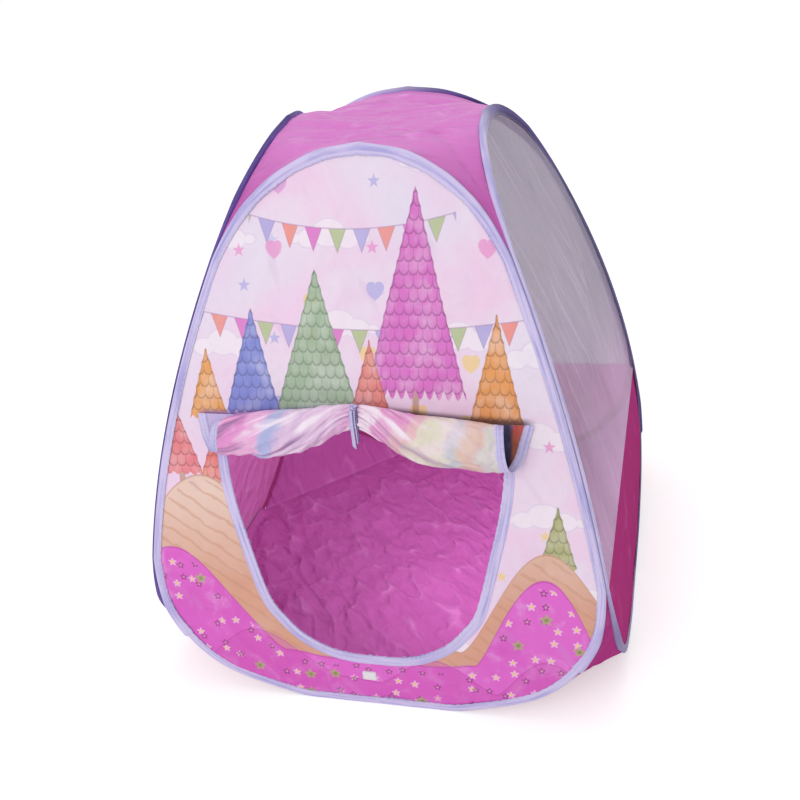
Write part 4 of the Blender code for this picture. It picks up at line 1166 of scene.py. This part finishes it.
def side_sheet(side, edge, upper, seed):
    """A ruled sheet between the band's seam and the loop, above or below the seam."""
    def place(across, along):
        bound = along_line(edge, across * run_lengths(edge)[-1])
        seam = np.stack([(across * 2 - 1) * SEAM_HALF, 0 * across + SEAM_HEIGHT], -1)
        flat = seam + (bound - seam) * along[..., None]
        x, z = flat[..., 0], flat[..., 1]
        free = np.sin(math.pi * along) ** 0.6
        if upper:
            drawn = creases(x, z, 0.045, seed, 5.0, 76)
            relief = 0.0045 * (drawn - 0.2) + 0.0026 * folds(x, z, 0.22, 80, 30, seed + 5) - 0.004
        else:
            heading, depth = BACK_BAND if side == 2 else SIDE_BAND
            drawn = creases(x, z, 0.06, seed, 2.5, heading)
            relief = depth * (drawn - 0.2) + 0.0016 * folds(x, z, 0.12, 90, 30, seed + 5)
        return on_side(side, x, free * relief, z), (x, z)
    return place


nets, bands = [], []
for side in (1, 2, 3):
    name = SIDES[side]
    net = cloth_grid(f"{name}_net_cloth", 300, 90, side_sheet(side, HIGH_EDGE, True, 70 + side))
    thicken(sew_shut(net), 0.0004, grey_net)
    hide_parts(f"{name}_net_panel")
    nets.append(net)
    band = cloth_grid(f"{name}_band_cloth", 260, 46, side_sheet(side, LOW_EDGE, False, 80 + side))
    thicken(sew_shut(band, turn_over=True), 0.0005, magenta_band, band_inside_painted_lit)
    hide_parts(f"{name}_lower_band")
    bands.append(band)

# %% [markdown]
# ## Crown and gussets
# The crown is one continuous curved sheet between the tops of the four loops. It sags a little in
# the middle and runs down each corner as a narrowing leg until two loops come together. The four
# gussets do the same from the ground upwards. Both start beside the sleeves, where they are sewn.

# %% Spans between loops
TAPE_REACH = 0.00267
LOOPS_MEET = 0.0015


def sewn_line(distances, clearance):
    """Where cloth leaves the front loop's sleeve for the right loop's, along the right half."""
    spine, outward = carried(LOOP, distances)
    x, z = spine[:, 0], spine[:, 1]
    slope = lean(z)
    tangent = np.stack([-outward[:, 1], outward[:, 0] * slope, outward[:, 0]], -1)
    tangent /= np.linalg.norm(tangent, axis=1, keepdims=True)
    face = np.stack([0 * x, 0 * x - 1, slope], -1)
    face /= np.linalg.norm(face, axis=1, keepdims=True)
    away = np.cross(tangent, face)
    across = np.array([1, 1, 0]) / math.sqrt(2)
    square_on = across - tangent * (tangent @ across)[:, None]
    length = np.linalg.norm(square_on, axis=1)
    heading = square_on / length[:, None]
    beside, ahead = (away * heading).sum(1), (face * heading).sum(1)
    round_tape = np.radians(np.arange(16) * 22.5)
    reach = TAPE_REACH * np.max(
        [math.cos(angle) * beside + math.sin(angle) * ahead for angle in round_tape], axis=0,
    )
    margin = (reach + clearance) / length / math.sqrt(2)
    near = on_side(0, x, 0 * x, z)
    near[:, 0] += margin
    near[:, 1] += margin
    return near


def quarter(points, side):
    x, y, z = points[..., 0], points[..., 1], points[..., 2]
    for turn in range(side):
        x, y = -y, x
    return np.stack([x, y, z], -1)


def span_grid(near, across):
    """Straight spans from the front loop to the right loop, as rows of points."""
    far = np.stack([-near[:, 1], -near[:, 0], near[:, 2]], -1)
    share = across[..., None]
    return near[:, None, :] * (1 - share) + far[:, None, :] * share


def open_part(near):
    """How wide the gap between the two sleeves is at each point."""
    return (np.stack([-near[:, 1], -near[:, 0]], -1) - near[:, :2]).sum(1) / math.sqrt(2)


HALF_RUN = LOOP_LENGTH / 2
fine = np.linspace(0, HALF_RUN, 4000)
gaps = open_part(sewn_line(fine, 0.0004))
middle_run = fine[gaps < LOOPS_MEET]
CORNER_LOW, CORNER_HIGH = middle_run[0], middle_run[-1]
print("loops meet from", round(CORNER_LOW, 3), "to", round(CORNER_HIGH, 3), "m round")

# %% [markdown]
# ## Shaping the crown
# The crown's folds run from loop to loop, because the cloth is pulled between them. Where the
# front leg of the crown narrows, the spare cloth gathers into one long soft fold.

# %% Crown
CROWN_SAG = 0.009
CROWN_ROWS, CROWN_RINGS, CROWN_COLUMNS = 100, 46, 44


def crown_quarter(side):
    def place(across, along):
        rows = CROWN_ROWS + CROWN_RINGS
        step = along[:, 0] * rows
        leg = np.clip(step / CROWN_ROWS, 0, 1)
        ring = np.clip((step - CROWN_ROWS) / CROWN_RINGS, 0, 1)
        near = sewn_line(CORNER_HIGH + (HALF_RUN - CORNER_HIGH) * leg, 0.0)
        near[leg >= 1, 0] = 0.0
        points = span_grid(near, across)
        width = open_part(near) / open_part(near)[-1]
        arc = np.sin(math.pi * across)
        hang = CROWN_SAG * width[:, None] * arc
        inward = points[..., :2] / np.linalg.norm(points[..., :2], axis=-1, keepdims=True)
        points[..., :2] -= inward * hang[..., None] * 0.5
        points[..., 2] -= hang * 0.6
        left = (1 - ring)[:, None]
        sag = CROWN_SAG * 0.8 * np.cos(math.pi / 2 * left)
        peak = near[-1, 2]
        height = points[..., 2]
        points[..., 2] = np.where(left < 1, height + (peak - height) * (1 - left) - sag, height)
        points[..., :2] *= left[..., None]
        points = quarter(points, side)
        x, y = points[..., 0], points[..., 1]
        pulled = creases(x, y, 0.030, 31, 4.0, 4) * 0.0052
        pulled = pulled + folds(x * 0.4, y, 0.05, 0, 14, 32) * 0.0016
        small = creases(x, y, 0.016, 33, 2.6, -6) * 0.0014
        inner = np.clip((1 - left) * 9, 0, 1)
        on_leg = np.clip(width[:, None], 0.05, 1) * arc ** 0.6
        free = np.where(left < 1, arc ** 0.6 + (1 - arc ** 0.6) * inner, on_leg)
        lift = free * (pulled + small - 0.0014)
        leg_fold = np.exp(-(((across - 0.62) / 0.10) ** 2)) * (1 - inner)
        lift = lift - leg_fold * np.clip(width[:, None], 0, 1) * 0.006
        around = np.gradient(points, axis=1)
        upward = np.gradient(points, axis=0)
        normal = np.cross(around, upward)
        normal /= np.linalg.norm(normal, axis=-1, keepdims=True) + 1e-12
        outwards = np.where((normal[..., 2] < 0)[..., None], -normal, normal)
        steady = np.clip(np.hypot(x, y) / 0.02, 0, 1)[..., None]
        level = ((1 - inner) * np.clip(arc / 0.3, 0, 1))[..., None] * steady
        outwards = outwards * level + np.array([0, 0, 1.0]) * (1 - level)
        points = points + outwards * lift[..., None]
        return points, (x, y)

    return cloth_grid(f"crown_{SIDES[side]}", CROWN_COLUMNS, CROWN_ROWS + CROWN_RINGS, place)


quarters = [crown_quarter(side) for side in range(4)]
CROWN_CUT = math.sqrt(2) * middle_line(quarters[0], CROWN_COLUMNS)
bpy.ops.object.select_all(action="DESELECT")
for part in quarters:
    part.select_set(True)
bpy.context.view_layer.objects.active = quarters[0]
bpy.ops.object.join()
crown = bpy.context.object
crown.name = crown.data.name = "crown_cloth"
thicken(sew_shut(crown, 0.0003), 0.0005, pink_crown)
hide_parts("crown")

# %% [markdown]
# ## Gussets and groundsheet
# A gusset is a small triangle that closes each lower corner. The groundsheet is an octagon of the
# same cloth. It was rolled up small in the bag, so it lies crumpled inside the tent.

# %% Gussets and groundsheet
FLOOR_EDGE, FLOOR_CORNER = 0.3565, 0.1146
FLOOR_TURN, FLOOR_RIM = 0.955, 0.018
GUSSET_FOOT = (FLOOR_CORNER - 0.0040, -FLOOR_EDGE + 0.0006, 0.0014)
GUSSET_COLUMNS, GUSSET_ROWS = 56, 70
GUSSET_START = float(np.interp(FLOOR_CORNER, LOOP[:200, 0], run_lengths(LOOP)[:200]))


def gusset(corner):
    def place(across, along):
        near = sewn_line(GUSSET_START + (CORNER_LOW - GUSSET_START) * along[:, 0], 0.0)
        near[0] = GUSSET_FOOT
        points = span_grid(near, across)
        width = open_part(near)
        span = (across - 0.5) * width[:, None]
        rise = near[:, 2][:, None] + 0 * across
        arc = np.sin(math.pi * across) * np.sin(math.pi * np.clip(along, 0, 1)) ** 0.5
        bulge = arc * (0.008 * creases(span, rise, 0.04, 90 + corner, 2.5, 75) - 0.004)
        outward = points[..., :2] / np.linalg.norm(points[..., :2], axis=-1, keepdims=True)
        points[..., :2] += outward * bulge[..., None]
        return quarter(points, corner), (span, rise)

    return cloth_grid(f"{CORNERS[corner]}_gusset_cloth", GUSSET_COLUMNS, GUSSET_ROWS, place)


CORNERS = ("front_right", "back_right", "back_left", "front_left")
gussets, gusset_rises = [], []
for corner in range(4):
    piece = gusset(corner)
    gusset_rises.append(middle_line(piece, GUSSET_COLUMNS))
    thicken(sew_shut(piece), 0.0005, magenta_gusset, magenta_floor)
    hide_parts(f"{CORNERS[corner]}_gusset")
    gussets.append(piece)


def floor_place(across, along):
    u, v = across * 2 - 1, along * 2 - 1
    ring = np.maximum(np.maximum(np.abs(u), np.abs(v)), 1e-9)
    corner_cut = (FLOOR_EDGE + FLOOR_CORNER) * ring / np.maximum(np.abs(u) + np.abs(v), 1e-9)
    reach = np.minimum(FLOOR_EDGE, corner_cut)
    x, y = u * reach, v * reach
    free = np.clip((1 - ring) / 0.05, 0, 1)
    ridges = creases(x, y, 0.046, 51, 2.4, -52) * 0.0085
    ridges = ridges + creases(x, y, 0.030, 52, 2.0, -20) * 0.0028
    swell = np.maximum(folds(x, y, 0.17, 40, 60, 53), 0) * 0.0035
    straight = np.clip((corner_cut - FLOOR_EDGE) / 0.02, 0, 1)
    turned_up = np.clip((ring - FLOOR_TURN) / (1 - FLOOR_TURN), 0, 1)
    height = 0.0006 + free * (ridges + swell) + straight * FLOOR_RIM * turned_up ** 2
    return np.stack([x, y, height], -1), (x, y)


groundsheet = cloth_grid("groundsheet_cloth", 220, 220, floor_place)
thicken(groundsheet, 0.0005, magenta_floor)
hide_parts("groundsheet")

# %% [markdown]
# ## The rolled flap
# The flap is cut like the doorway, a little larger, and its edge is bound in narrow tape. The
# mesh is its flat cut wound up with the spiral from before: each row of the grid is a little
# further down the flap, and each row is as wide as the flap is there.

# %% Flap
FLAP_SHARES = (
    (1, 0), (0.945, 0.10), (0.885, 0.19), (0.855, 0.31), (0.815, 0.47), (0.705, 0.70),
    (0.50, 0.86), (0.26, 0.96), (0.09, 1),
)
FLAP_TAPE = 0.0125
FLAP_SIDE = smooth_through([(FLAP_HALF * x, FLAP_LENGTH * s) for x, s in FLAP_SHARES], 16)
WASHES = (
    # where each wash begins, as a share of the flap's half width, and its colour
    (-1.0, shown(226, 180, 232)), (-0.84, shown(236, 150, 212)), (-0.62, shown(240, 180, 224)),
    (-0.45, shown(180, 186, 230)), (-0.34, shown(228, 196, 230)), (-0.18, shown(238, 206, 236)),
    (-0.06, shown(226, 168, 214)), (0.05, shown(246, 224, 240)), (0.20, shown(234, 160, 210)),
    (0.36, shown(238, 192, 198)), (0.46, shown(232, 224, 204)), (0.62, shown(206, 206, 212)),
    (0.70, shown(232, 198, 184)), (0.82, shown(222, 218, 214)),
)


def flap_wash(name, printed):
    """Watercolour on the flap: broad pools of rose, lilac, salmon, cream and pale blue."""
    cloth = Finish(name, Sheen_Weight=0.04, Sheen_Roughness=0.35, Specular_IOR_Level=0.4)
    flat, across, height = cloth.cut()
    first = cloth.noise(cloth.place(across, height * 1.4), 11.0, 4.0, 0.55, 0.6)
    second = cloth.noise(cloth.place(across + 3, height * 1.4), 19.0, 4.0, 0.55, 0.8)
    drifted = across + (height - 0.3) * 0.35 + (first - 0.5) * 0.10
    picture = WASHES[0][1]
    for edge, colour in WASHES[1:]:
        picture = cloth.blend(picture, colour, (drifted - edge * FLAP_HALF).above(0.0, 0.007))
    picture = cloth.blend(picture, shown(250, 226, 244), (second - 0.52).most(0.0) * 2.5)
    picture = cloth.blend(picture, shown(206, 142, 196), (0.42 - second).most(0.0) * 2)
    # Painted highlight and shade: pale streaks and mauve lines fan out along the pleats, strongest over
    # the flap's left part and middle and fading to the right.
    aside = abs(across)
    fanned = cloth.place((height - aside * 0.30) * 80, aside * 11, across)
    streaks = cloth.noise(fanned, 1.0, 2.0, 0.5, 0.5)
    near_tie = (0.20 - across).most(0.0).least(0.17) * 6
    picture = cloth.blend(picture, shown(252, 236, 250), (streaks - 0.53).most(0.0) * near_tie * 7)
    picture = cloth.blend(picture, shown(164, 118, 166), (0.45 - streaks).most(0.0) * near_tie * 6)
    if printed:
        warm = cloth.blend(shown(176, 96, 70), shown(214, 92, 84), (height - 0.435) * 50)
        warm = cloth.blend(warm, shown(118, 66, 56), (0.45 - second).most(0.0) * 5)
        # Painted shade: the printed side is painted dark slate for the shade inside the roll, and only
        # its outermost strip keeps the brown print.
        hollow = across.below(0.2115, 0.003)
        warm = cloth.blend(warm, shown(62, 58, 88), hollow)
        picture = cloth.blend(shown(206, 188, 232), warm, across.above(0.0, 0.02))
    wrinkle = crumple(cloth, flat, 0.018, (1.0, 0.6))
    # Painted shade: the cloth is darker in the hollows of its crumples.
    picture = cloth.blend(picture, shown(190, 140, 200), (0.16 - wrinkle).most(0.0) * 2.0)
    height_map = wrinkle * 0.0016 + weave(cloth, across, height) * 0.000022
    return cloth.finish(picture, 0.40 + (first - 0.5) * 0.2, height_map)


flap_inside = flap_wash("flap_reverse_wash", False)
flap_printed = flap_wash("flap_print", True)


def flap_place(across, along):
    down = along * FLAP_LENGTH
    half = np.interp(down, FLAP_SIDE[:, 1], FLAP_SIDE[:, 0])
    breadth = (across * 2 - 1) * half
    fanned = down + 0.30 * np.abs(breadth)
    drawn = creases(breadth, fanned, 0.015, 61, 4.5, 0) * 0.0050
    drawn = drawn + creases(breadth, down, 0.028, 62, 1.8, 50) * 0.0042
    outer_turn = np.clip((roll_run(400) - down) / 0.03, 0, 1) * np.clip(down / 0.02, 0, 1)
    outer_turn = outer_turn * np.clip((half - np.abs(breadth) - 0.010) / 0.012, 0, 1)
    outer_turn = outer_turn * np.interp(down, roll_run(np.array([10, 50, 225, 255])), [0.2, 1, 1, 0.3])
    out, height = roll_place(breadth, down, drawn * outer_turn * np.clip(np.abs(breadth) / 0.006, 0, 1))
    return on_side(0, breadth, out, height), (breadth, FLAP_SEAM - down)


flap = cloth_grid("door_flap_cloth", 150, 300, flap_place)
thicken(flap, 0.0004, flap_inside, flap_printed)
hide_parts("door_flap")


FLAP_EDGE = np.vstack([FLAP_SIDE, FLAP_SIDE[::-1] * (-1, 1)])


def flap_tape_place(across, along):
    length = run_lengths(FLAP_EDGE)[-1]
    spine, outward = carried(FLAP_EDGE, along * length)
    spread = (across - 0.06) * FLAP_TAPE
    flat = spine - outward * spread[..., None]
    down = np.clip(flat[..., 1], 0, None)
    gather = folds(along * length, across * 0.002, 0.014, 90, 8, 27)
    out, height = roll_place(flat[..., 0], down, 0.0003 * gather * across)
    return on_side(0, flat[..., 0], out, height), (along * length, (across - 0.5) * FLAP_TAPE)


flap_binding = cloth_grid("door_flap_edge_tape", 10, 520, flap_tape_place)
thicken(flap_binding, 0.0012, flap_tape)
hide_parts("door_flap_binding")

# %% [markdown]
# ## The ribbon and its knot
# The ribbon is sewn above the flap's seam, goes over the roll, down its front and under it, and
# is knotted in front. The knot is a real overhand knot: a flattened strip that follows a trefoil,
# pulled tight until it is only a little wider than the ribbon.

# %% Ribbon and knot
TIE_WIDTH = 0.0075
STRIP_HALF_WIDTH, STRIP_HALF_THICK = 0.0024, 0.0011
STRIP_LENGTH = 0.06


def band_path():
    sewn = on_side(0, np.zeros(1), np.full(1, 0.0019), np.full(1, FLAP_SEAM + 0.0010))[0]
    places = [(-sewn[1], sewn[2])]
    places += [tuple(tied_place(degrees, 0.0007)[0]) for degrees in range(330, -1, -15)]
    return places


band = ribbon_strip("tie_band_ribbon", band_path(), TIE_WIDTH, 0.0, rows=150, ripple=0.00012)[0]
thicken(band, 0.0005, ribbon_cloth)
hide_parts("tie_band")


def knot_skin(across, along):
    """A flattened strip round a trefoil. across goes round the strip and along goes along it."""
    t = along * 2 * math.pi
    wide, deep, tall = (size / 2 for size in KNOT_SIZE)
    inset = 0.0014
    path = np.stack([
        (np.sin(t) + 2 * np.sin(2 * t)) / 3 * (wide - inset),
        -np.sin(3 * t) * (deep - inset),
        (np.cos(t) - 2 * np.cos(2 * t)) / 3 * (tall - inset),
    ], -1)
    ahead = np.gradient(path, axis=0)
    ahead /= np.linalg.norm(ahead, axis=-1, keepdims=True)
    outward = path / (np.linalg.norm(path, axis=-1, keepdims=True) + 1e-9)
    outward = outward - ahead * (outward * ahead).sum(-1, keepdims=True)
    outward /= np.linalg.norm(outward, axis=-1, keepdims=True) + 1e-9
    sideways = np.cross(ahead, outward)
    angle = across * 2 * math.pi
    ring = path + outward * (np.cos(angle) * STRIP_HALF_THICK)[..., None]
    ring = ring + sideways * (np.sin(angle) * STRIP_HALF_WIDTH)[..., None]
    (forward, height), facing = knot_place()
    turn = math.atan2(facing[1], facing[0])
    away = -ring[..., 1]
    up = ring[..., 2]
    y = -(forward + away * math.cos(turn) - up * math.sin(turn))
    z = height + away * math.sin(turn) + up * math.cos(turn)
    points = np.stack([ring[..., 0], y, z], -1)
    return points, (along * STRIP_LENGTH, np.sin(angle) * 0.0037)


knot = sew_shut(cloth_grid("tie_knot_ribbon", 14, 150, knot_skin))
alone(knot)
bpy.ops.object.mode_set(mode="EDIT")
bpy.ops.mesh.select_all(action="SELECT")
bpy.ops.mesh.normals_make_consistent(inside=False)
bpy.ops.object.mode_set(mode="OBJECT")
bpy.ops.object.shade_smooth()
knot.data.materials.append(ribbon_cloth)
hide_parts("tie_knot")
print("knot has", len(knot.data.polygons), "faces")

# %% [markdown]
# ## Hook-and-loop patches
# Two small white patches close the flap when it hangs. One is sewn below the doorway, and the
# other sits at the flap's foot and is rolled up inside it. Each is a thin block with rounded
# corners, sewn on through its edge, and its face is a field of tiny hooks.

# %% Patches
PATCH_WIDE, PATCH_TALL, PATCH_THICK = 0.021, 0.0145, 0.0009
hooks = Finish("white_hook_tape", Sheen_Weight=0.5, Specular_IOR_Level=0.3)
flat, across, along = hooks.cut()
nap = hooks.noise(flat, 1500.0, 3.0, 0.7)
tufts = weave(hooks, across, along, 0.0016)
seam = (0.0105 - abs(across)).least(0.0073 - abs(along))
stitched = abs(seam - 0.0014).below(0.0003, 0.00015)
white = hooks.blend(shown(252, 250, 252), shown(222, 218, 228), nap * 0.7 + stitched * 0.4)
hook_tape = hooks.finish(white, 0.8, nap * 0.00016 + tufts * 0.0001 - stitched * 0.0002)


def patch(name, place, node, body):
    """A thin patch with rounded corners, cut flat by hand and then laid in place."""
    bpy.ops.object.select_all(action="DESELECT")
    bpy.ops.mesh.primitive_cube_add(size=1.0, location=(0, 0, 0))
    piece = bpy.context.object
    piece.name = piece.data.name = name
    bpy.ops.object.mode_set(mode="EDIT")
    bpy.ops.mesh.select_all(action="SELECT")
    bpy.ops.transform.resize(value=(PATCH_WIDE, PATCH_THICK, PATCH_TALL))
    bpy.ops.object.mode_set(mode="OBJECT")
    for edge in piece.data.edges:
        a, b = (piece.data.vertices[index].co for index in edge.vertices)
        edge.select = abs(a.x - b.x) < 1e-6 and abs(a.z - b.z) < 1e-6
    bpy.ops.object.mode_set(mode="EDIT")
    bpy.ops.mesh.select_mode(type="EDGE")
    bpy.ops.mesh.bevel(offset=0.0018, segments=5)
    bpy.ops.mesh.select_all(action="SELECT")
    bpy.ops.mesh.bevel(offset=0.0002, segments=2)
    bpy.ops.mesh.select_all(action="SELECT")
    bpy.ops.mesh.quads_convert_to_tris()
    bpy.ops.mesh.subdivide(number_cuts=3)
    bpy.ops.object.mode_set(mode="OBJECT")
    flat_places = np.empty(len(piece.data.vertices) * 3)
    piece.data.vertices.foreach_get("co", flat_places)
    flat_places = flat_places.reshape(-1, 3)
    lay(piece, place(flat_places), flat_places[:, [0, 2]])
    alone(piece)
    bpy.ops.object.shade_smooth_by_angle(angle=math.radians(40))
    piece.data.materials.append(hook_tape)
    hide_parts(node)
    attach(piece, body)
    return piece


def below_door(points):
    middle = DOOR_FOOT - BINDING_WIDTH - CLOTH_OUT - PATCH_TALL / 2
    out = 0.0011 - points[:, 1]
    return on_side(0, points[:, 0] + PATCH_ASIDE, out, middle + points[:, 2])


def at_flap_foot(points):
    down = FLAP_LENGTH - 0.005 - PATCH_TALL / 2 - points[:, 2]
    out, height = roll_place(points[:, 0], down, PATCH_THICK - points[:, 1])
    return on_side(0, points[:, 0], out, height)


door_patch = patch("closure_patch_hooks", below_door, "closure_patch", "frame_front")
foot_patch = patch("flap_patch_hooks", at_flap_foot, "flap_patch", "door_roll")
print("patches have", len(door_patch.data.polygons), "faces each")

# %% [markdown]
# ## What moves with what
# The front loop and everything sewn to it stay put. The back loop swings when the tent is folded
# flat. The cloth between them only has its placement applied to its mesh here. The rolled flap
# swings on its seam.

# %% Ride and bake
for piece in (sleeves[0], front_panel, door_binding):
    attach(piece, "frame_front")
for piece in (sleeves[2], nets[1], bands[1]):
    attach(piece, "back_panel")
for piece in (flap, flap_binding, band, knot):
    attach(piece, "door_roll")
between = [sleeves[1], sleeves[3], nets[0], nets[2], bands[0], bands[2], crown, groundsheet]
for piece in (*between, *gussets, *bending):
    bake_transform(piece)
print(len(between) + len(gussets) + len(bending), "pieces bend between the front and the back")

# %% [markdown]
# ## Cut sizes
# For each sheet the size that it was cut to is worked out, and its area where the cut isn't a
# rectangle. Stretched sheets take their area from their faces, before they got a wall, and their
# length up the leaning side. The floor and the flap take theirs from their flat outlines.

# %% Cut sizes
def outline_area(line):
    x, z = line[:, 0], line[:, 1]
    return abs(float(np.sum(x * np.roll(z, -1) - z * np.roll(x, -1)))) / 2


def run_up(low, high):
    """How long cloth is that runs up a side from one height to another."""
    heights = np.linspace(low, high, 200)
    return run_lengths(on_side(0, 0 * heights, 0 * heights, heights))[-1]


def declare(piece, width, length, held="stretched", area=None, **others):
    """Works out a sheet's area, from its faces where no area is given, and rounds it."""
    area = round(float(area or CLOTH_AREAS[piece.name]), 5)


panel_edge = tucked_loop()
panel_foot, panel_top = panel_edge[:, 1].min(), panel_edge[:, 1].max()
panel_width = 2 * panel_edge[:, 0].max()
declare(front_panel, panel_width, run_up(panel_foot, panel_top), rests_on=["front_loop_sleeve_tape"],
        with_pieces=[door_patch])
for net, band_piece, sleeve in zip(nets, bands, sleeves[1:]):
    declare(net, panel_width, run_up(SEAM_HEIGHT, panel_top), rests_on=[sleeve.name])
    declare(band_piece, 2 * LOW_EDGE[:, 0].max(), run_up(panel_foot, SEAM_HEIGHT), rests_on=[sleeve.name])
declare(crown, CROWN_CUT, CROWN_CUT, rests_on=[piece.name for piece in sleeves])
floor_area = 4 * FLOOR_EDGE ** 2 - 2 * (FLOOR_EDGE - FLOOR_CORNER) ** 2
declare(groundsheet, 2 * FLOOR_EDGE, 2 * FLOOR_EDGE, "laid", floor_area)
gusset_width = math.sqrt(2) * -(GUSSET_FOOT[0] + GUSSET_FOOT[1])
for piece, rise in zip(gussets, gusset_rises):
    declare(piece, gusset_width, rise, rests_on=[sleeves[0].name])
flap_area = outline_area(FLAP_EDGE)
declare(flap, 2 * FLAP_HALF, FLAP_LENGTH, "gathered", flap_area, rests_on=[front_panel.name],
        with_pieces=[flap_binding, foot_patch])

# %% [markdown]
# ## Floor, backdrop and light
# The photograph is a plain studio picture on white. The floor is white to the camera and still
# takes the tent's shadow. The light is a pale sky all round, one broad lamp above the camera, one
# overhead, and two small ones inside that stand for light that comes through the cloth.

# %% Stage and light
def watched(tree):
    """1 where the camera sees, straight, in a gloss or through a clear sheet, and else 0."""
    rays = tree.nodes.new("ShaderNodeLightPath")
    seen = rays.outputs["Is Camera Ray"]
    for name in ("Is Glossy Ray", "Is Transmission Ray"):
        either = tree.nodes.new("ShaderNodeMath")
        either.operation = "MAXIMUM"
        tree.links.new(seen, either.inputs[0])
        tree.links.new(rays.outputs[name], either.inputs[1])
        seen = either.outputs[0]
    return seen


floor = Finish("studio_floor", Roughness=0.9)
bpy.ops.object.select_all(action="DESELECT")
bpy.ops.mesh.primitive_plane_add(size=12.0, location=(0, 0, -0.0006))
ground = bpy.context.object
ground.name = "studio_floor"
ground.data.materials.append(floor.material)
floor.shader.inputs["Base Color"].default_value = (0.9, 0.9, 0.9, 1.0)
floor.shader.inputs["Emission Strength"].default_value = 0.45
glow = floor.blend((0.0, 0.0, 0.0), (1.0, 1.0, 1.0), Signal(floor, watched(floor.tree)))
floor.feed(floor.shader.inputs["Emission Color"], glow)

world = bpy.data.worlds.new("studio")
bpy.context.scene.world = world
world.use_nodes = True
sky = world.node_tree
sky_light = sky.nodes["Background"]
sky_light.inputs["Color"].default_value = (1.0, 1.0, 1.0, 1.0)
sky_light.inputs["Strength"].default_value = 0.64
backdrop = sky.nodes.new("ShaderNodeBackground")
backdrop.inputs["Color"].default_value = (1.0, 1.0, 1.0, 1.0)
choose = sky.nodes.new("ShaderNodeMixShader")
sky.links.new(watched(sky), choose.inputs["Fac"])
sky.links.new(sky_light.outputs[0], choose.inputs[1])
sky.links.new(backdrop.outputs[0], choose.inputs[2])
sky.links.new(choose.outputs[0], sky.nodes["World Output"].inputs["Surface"])


def softbox(name, place, target, size, energy):
    """A square lamp that shines from a place towards a target."""
    lamp = bpy.data.lights.new(name, "AREA")
    lamp.shape = "SQUARE"
    lamp.size = size
    lamp.energy = energy
    made = bpy.data.objects.new(name, lamp)
    bpy.context.scene.collection.objects.link(made)
    made.location = place
    made.rotation_euler = (Vector(target) - Vector(place)).to_track_quat("-Z", "Y").to_euler()
    made.visible_camera = made.visible_glossy = False


softbox("front_softbox", (-0.8, -2.5, 1.75), (0.0, 0.0, 0.35), 1.6, 20.0)
softbox("top_softbox", (0.1, 0.3, 2.6), (0.0, 0.0, 0.8), 1.4, 6.0)
softbox("inner_softbox", (0.24, -0.16, 0.22), (-0.36, 0.10, 0.10), 0.16, 0.32)
softbox("back_softbox", (0.12, -0.16, 0.50), (0.08, 0.33, 0.07), 0.22, 1.1)
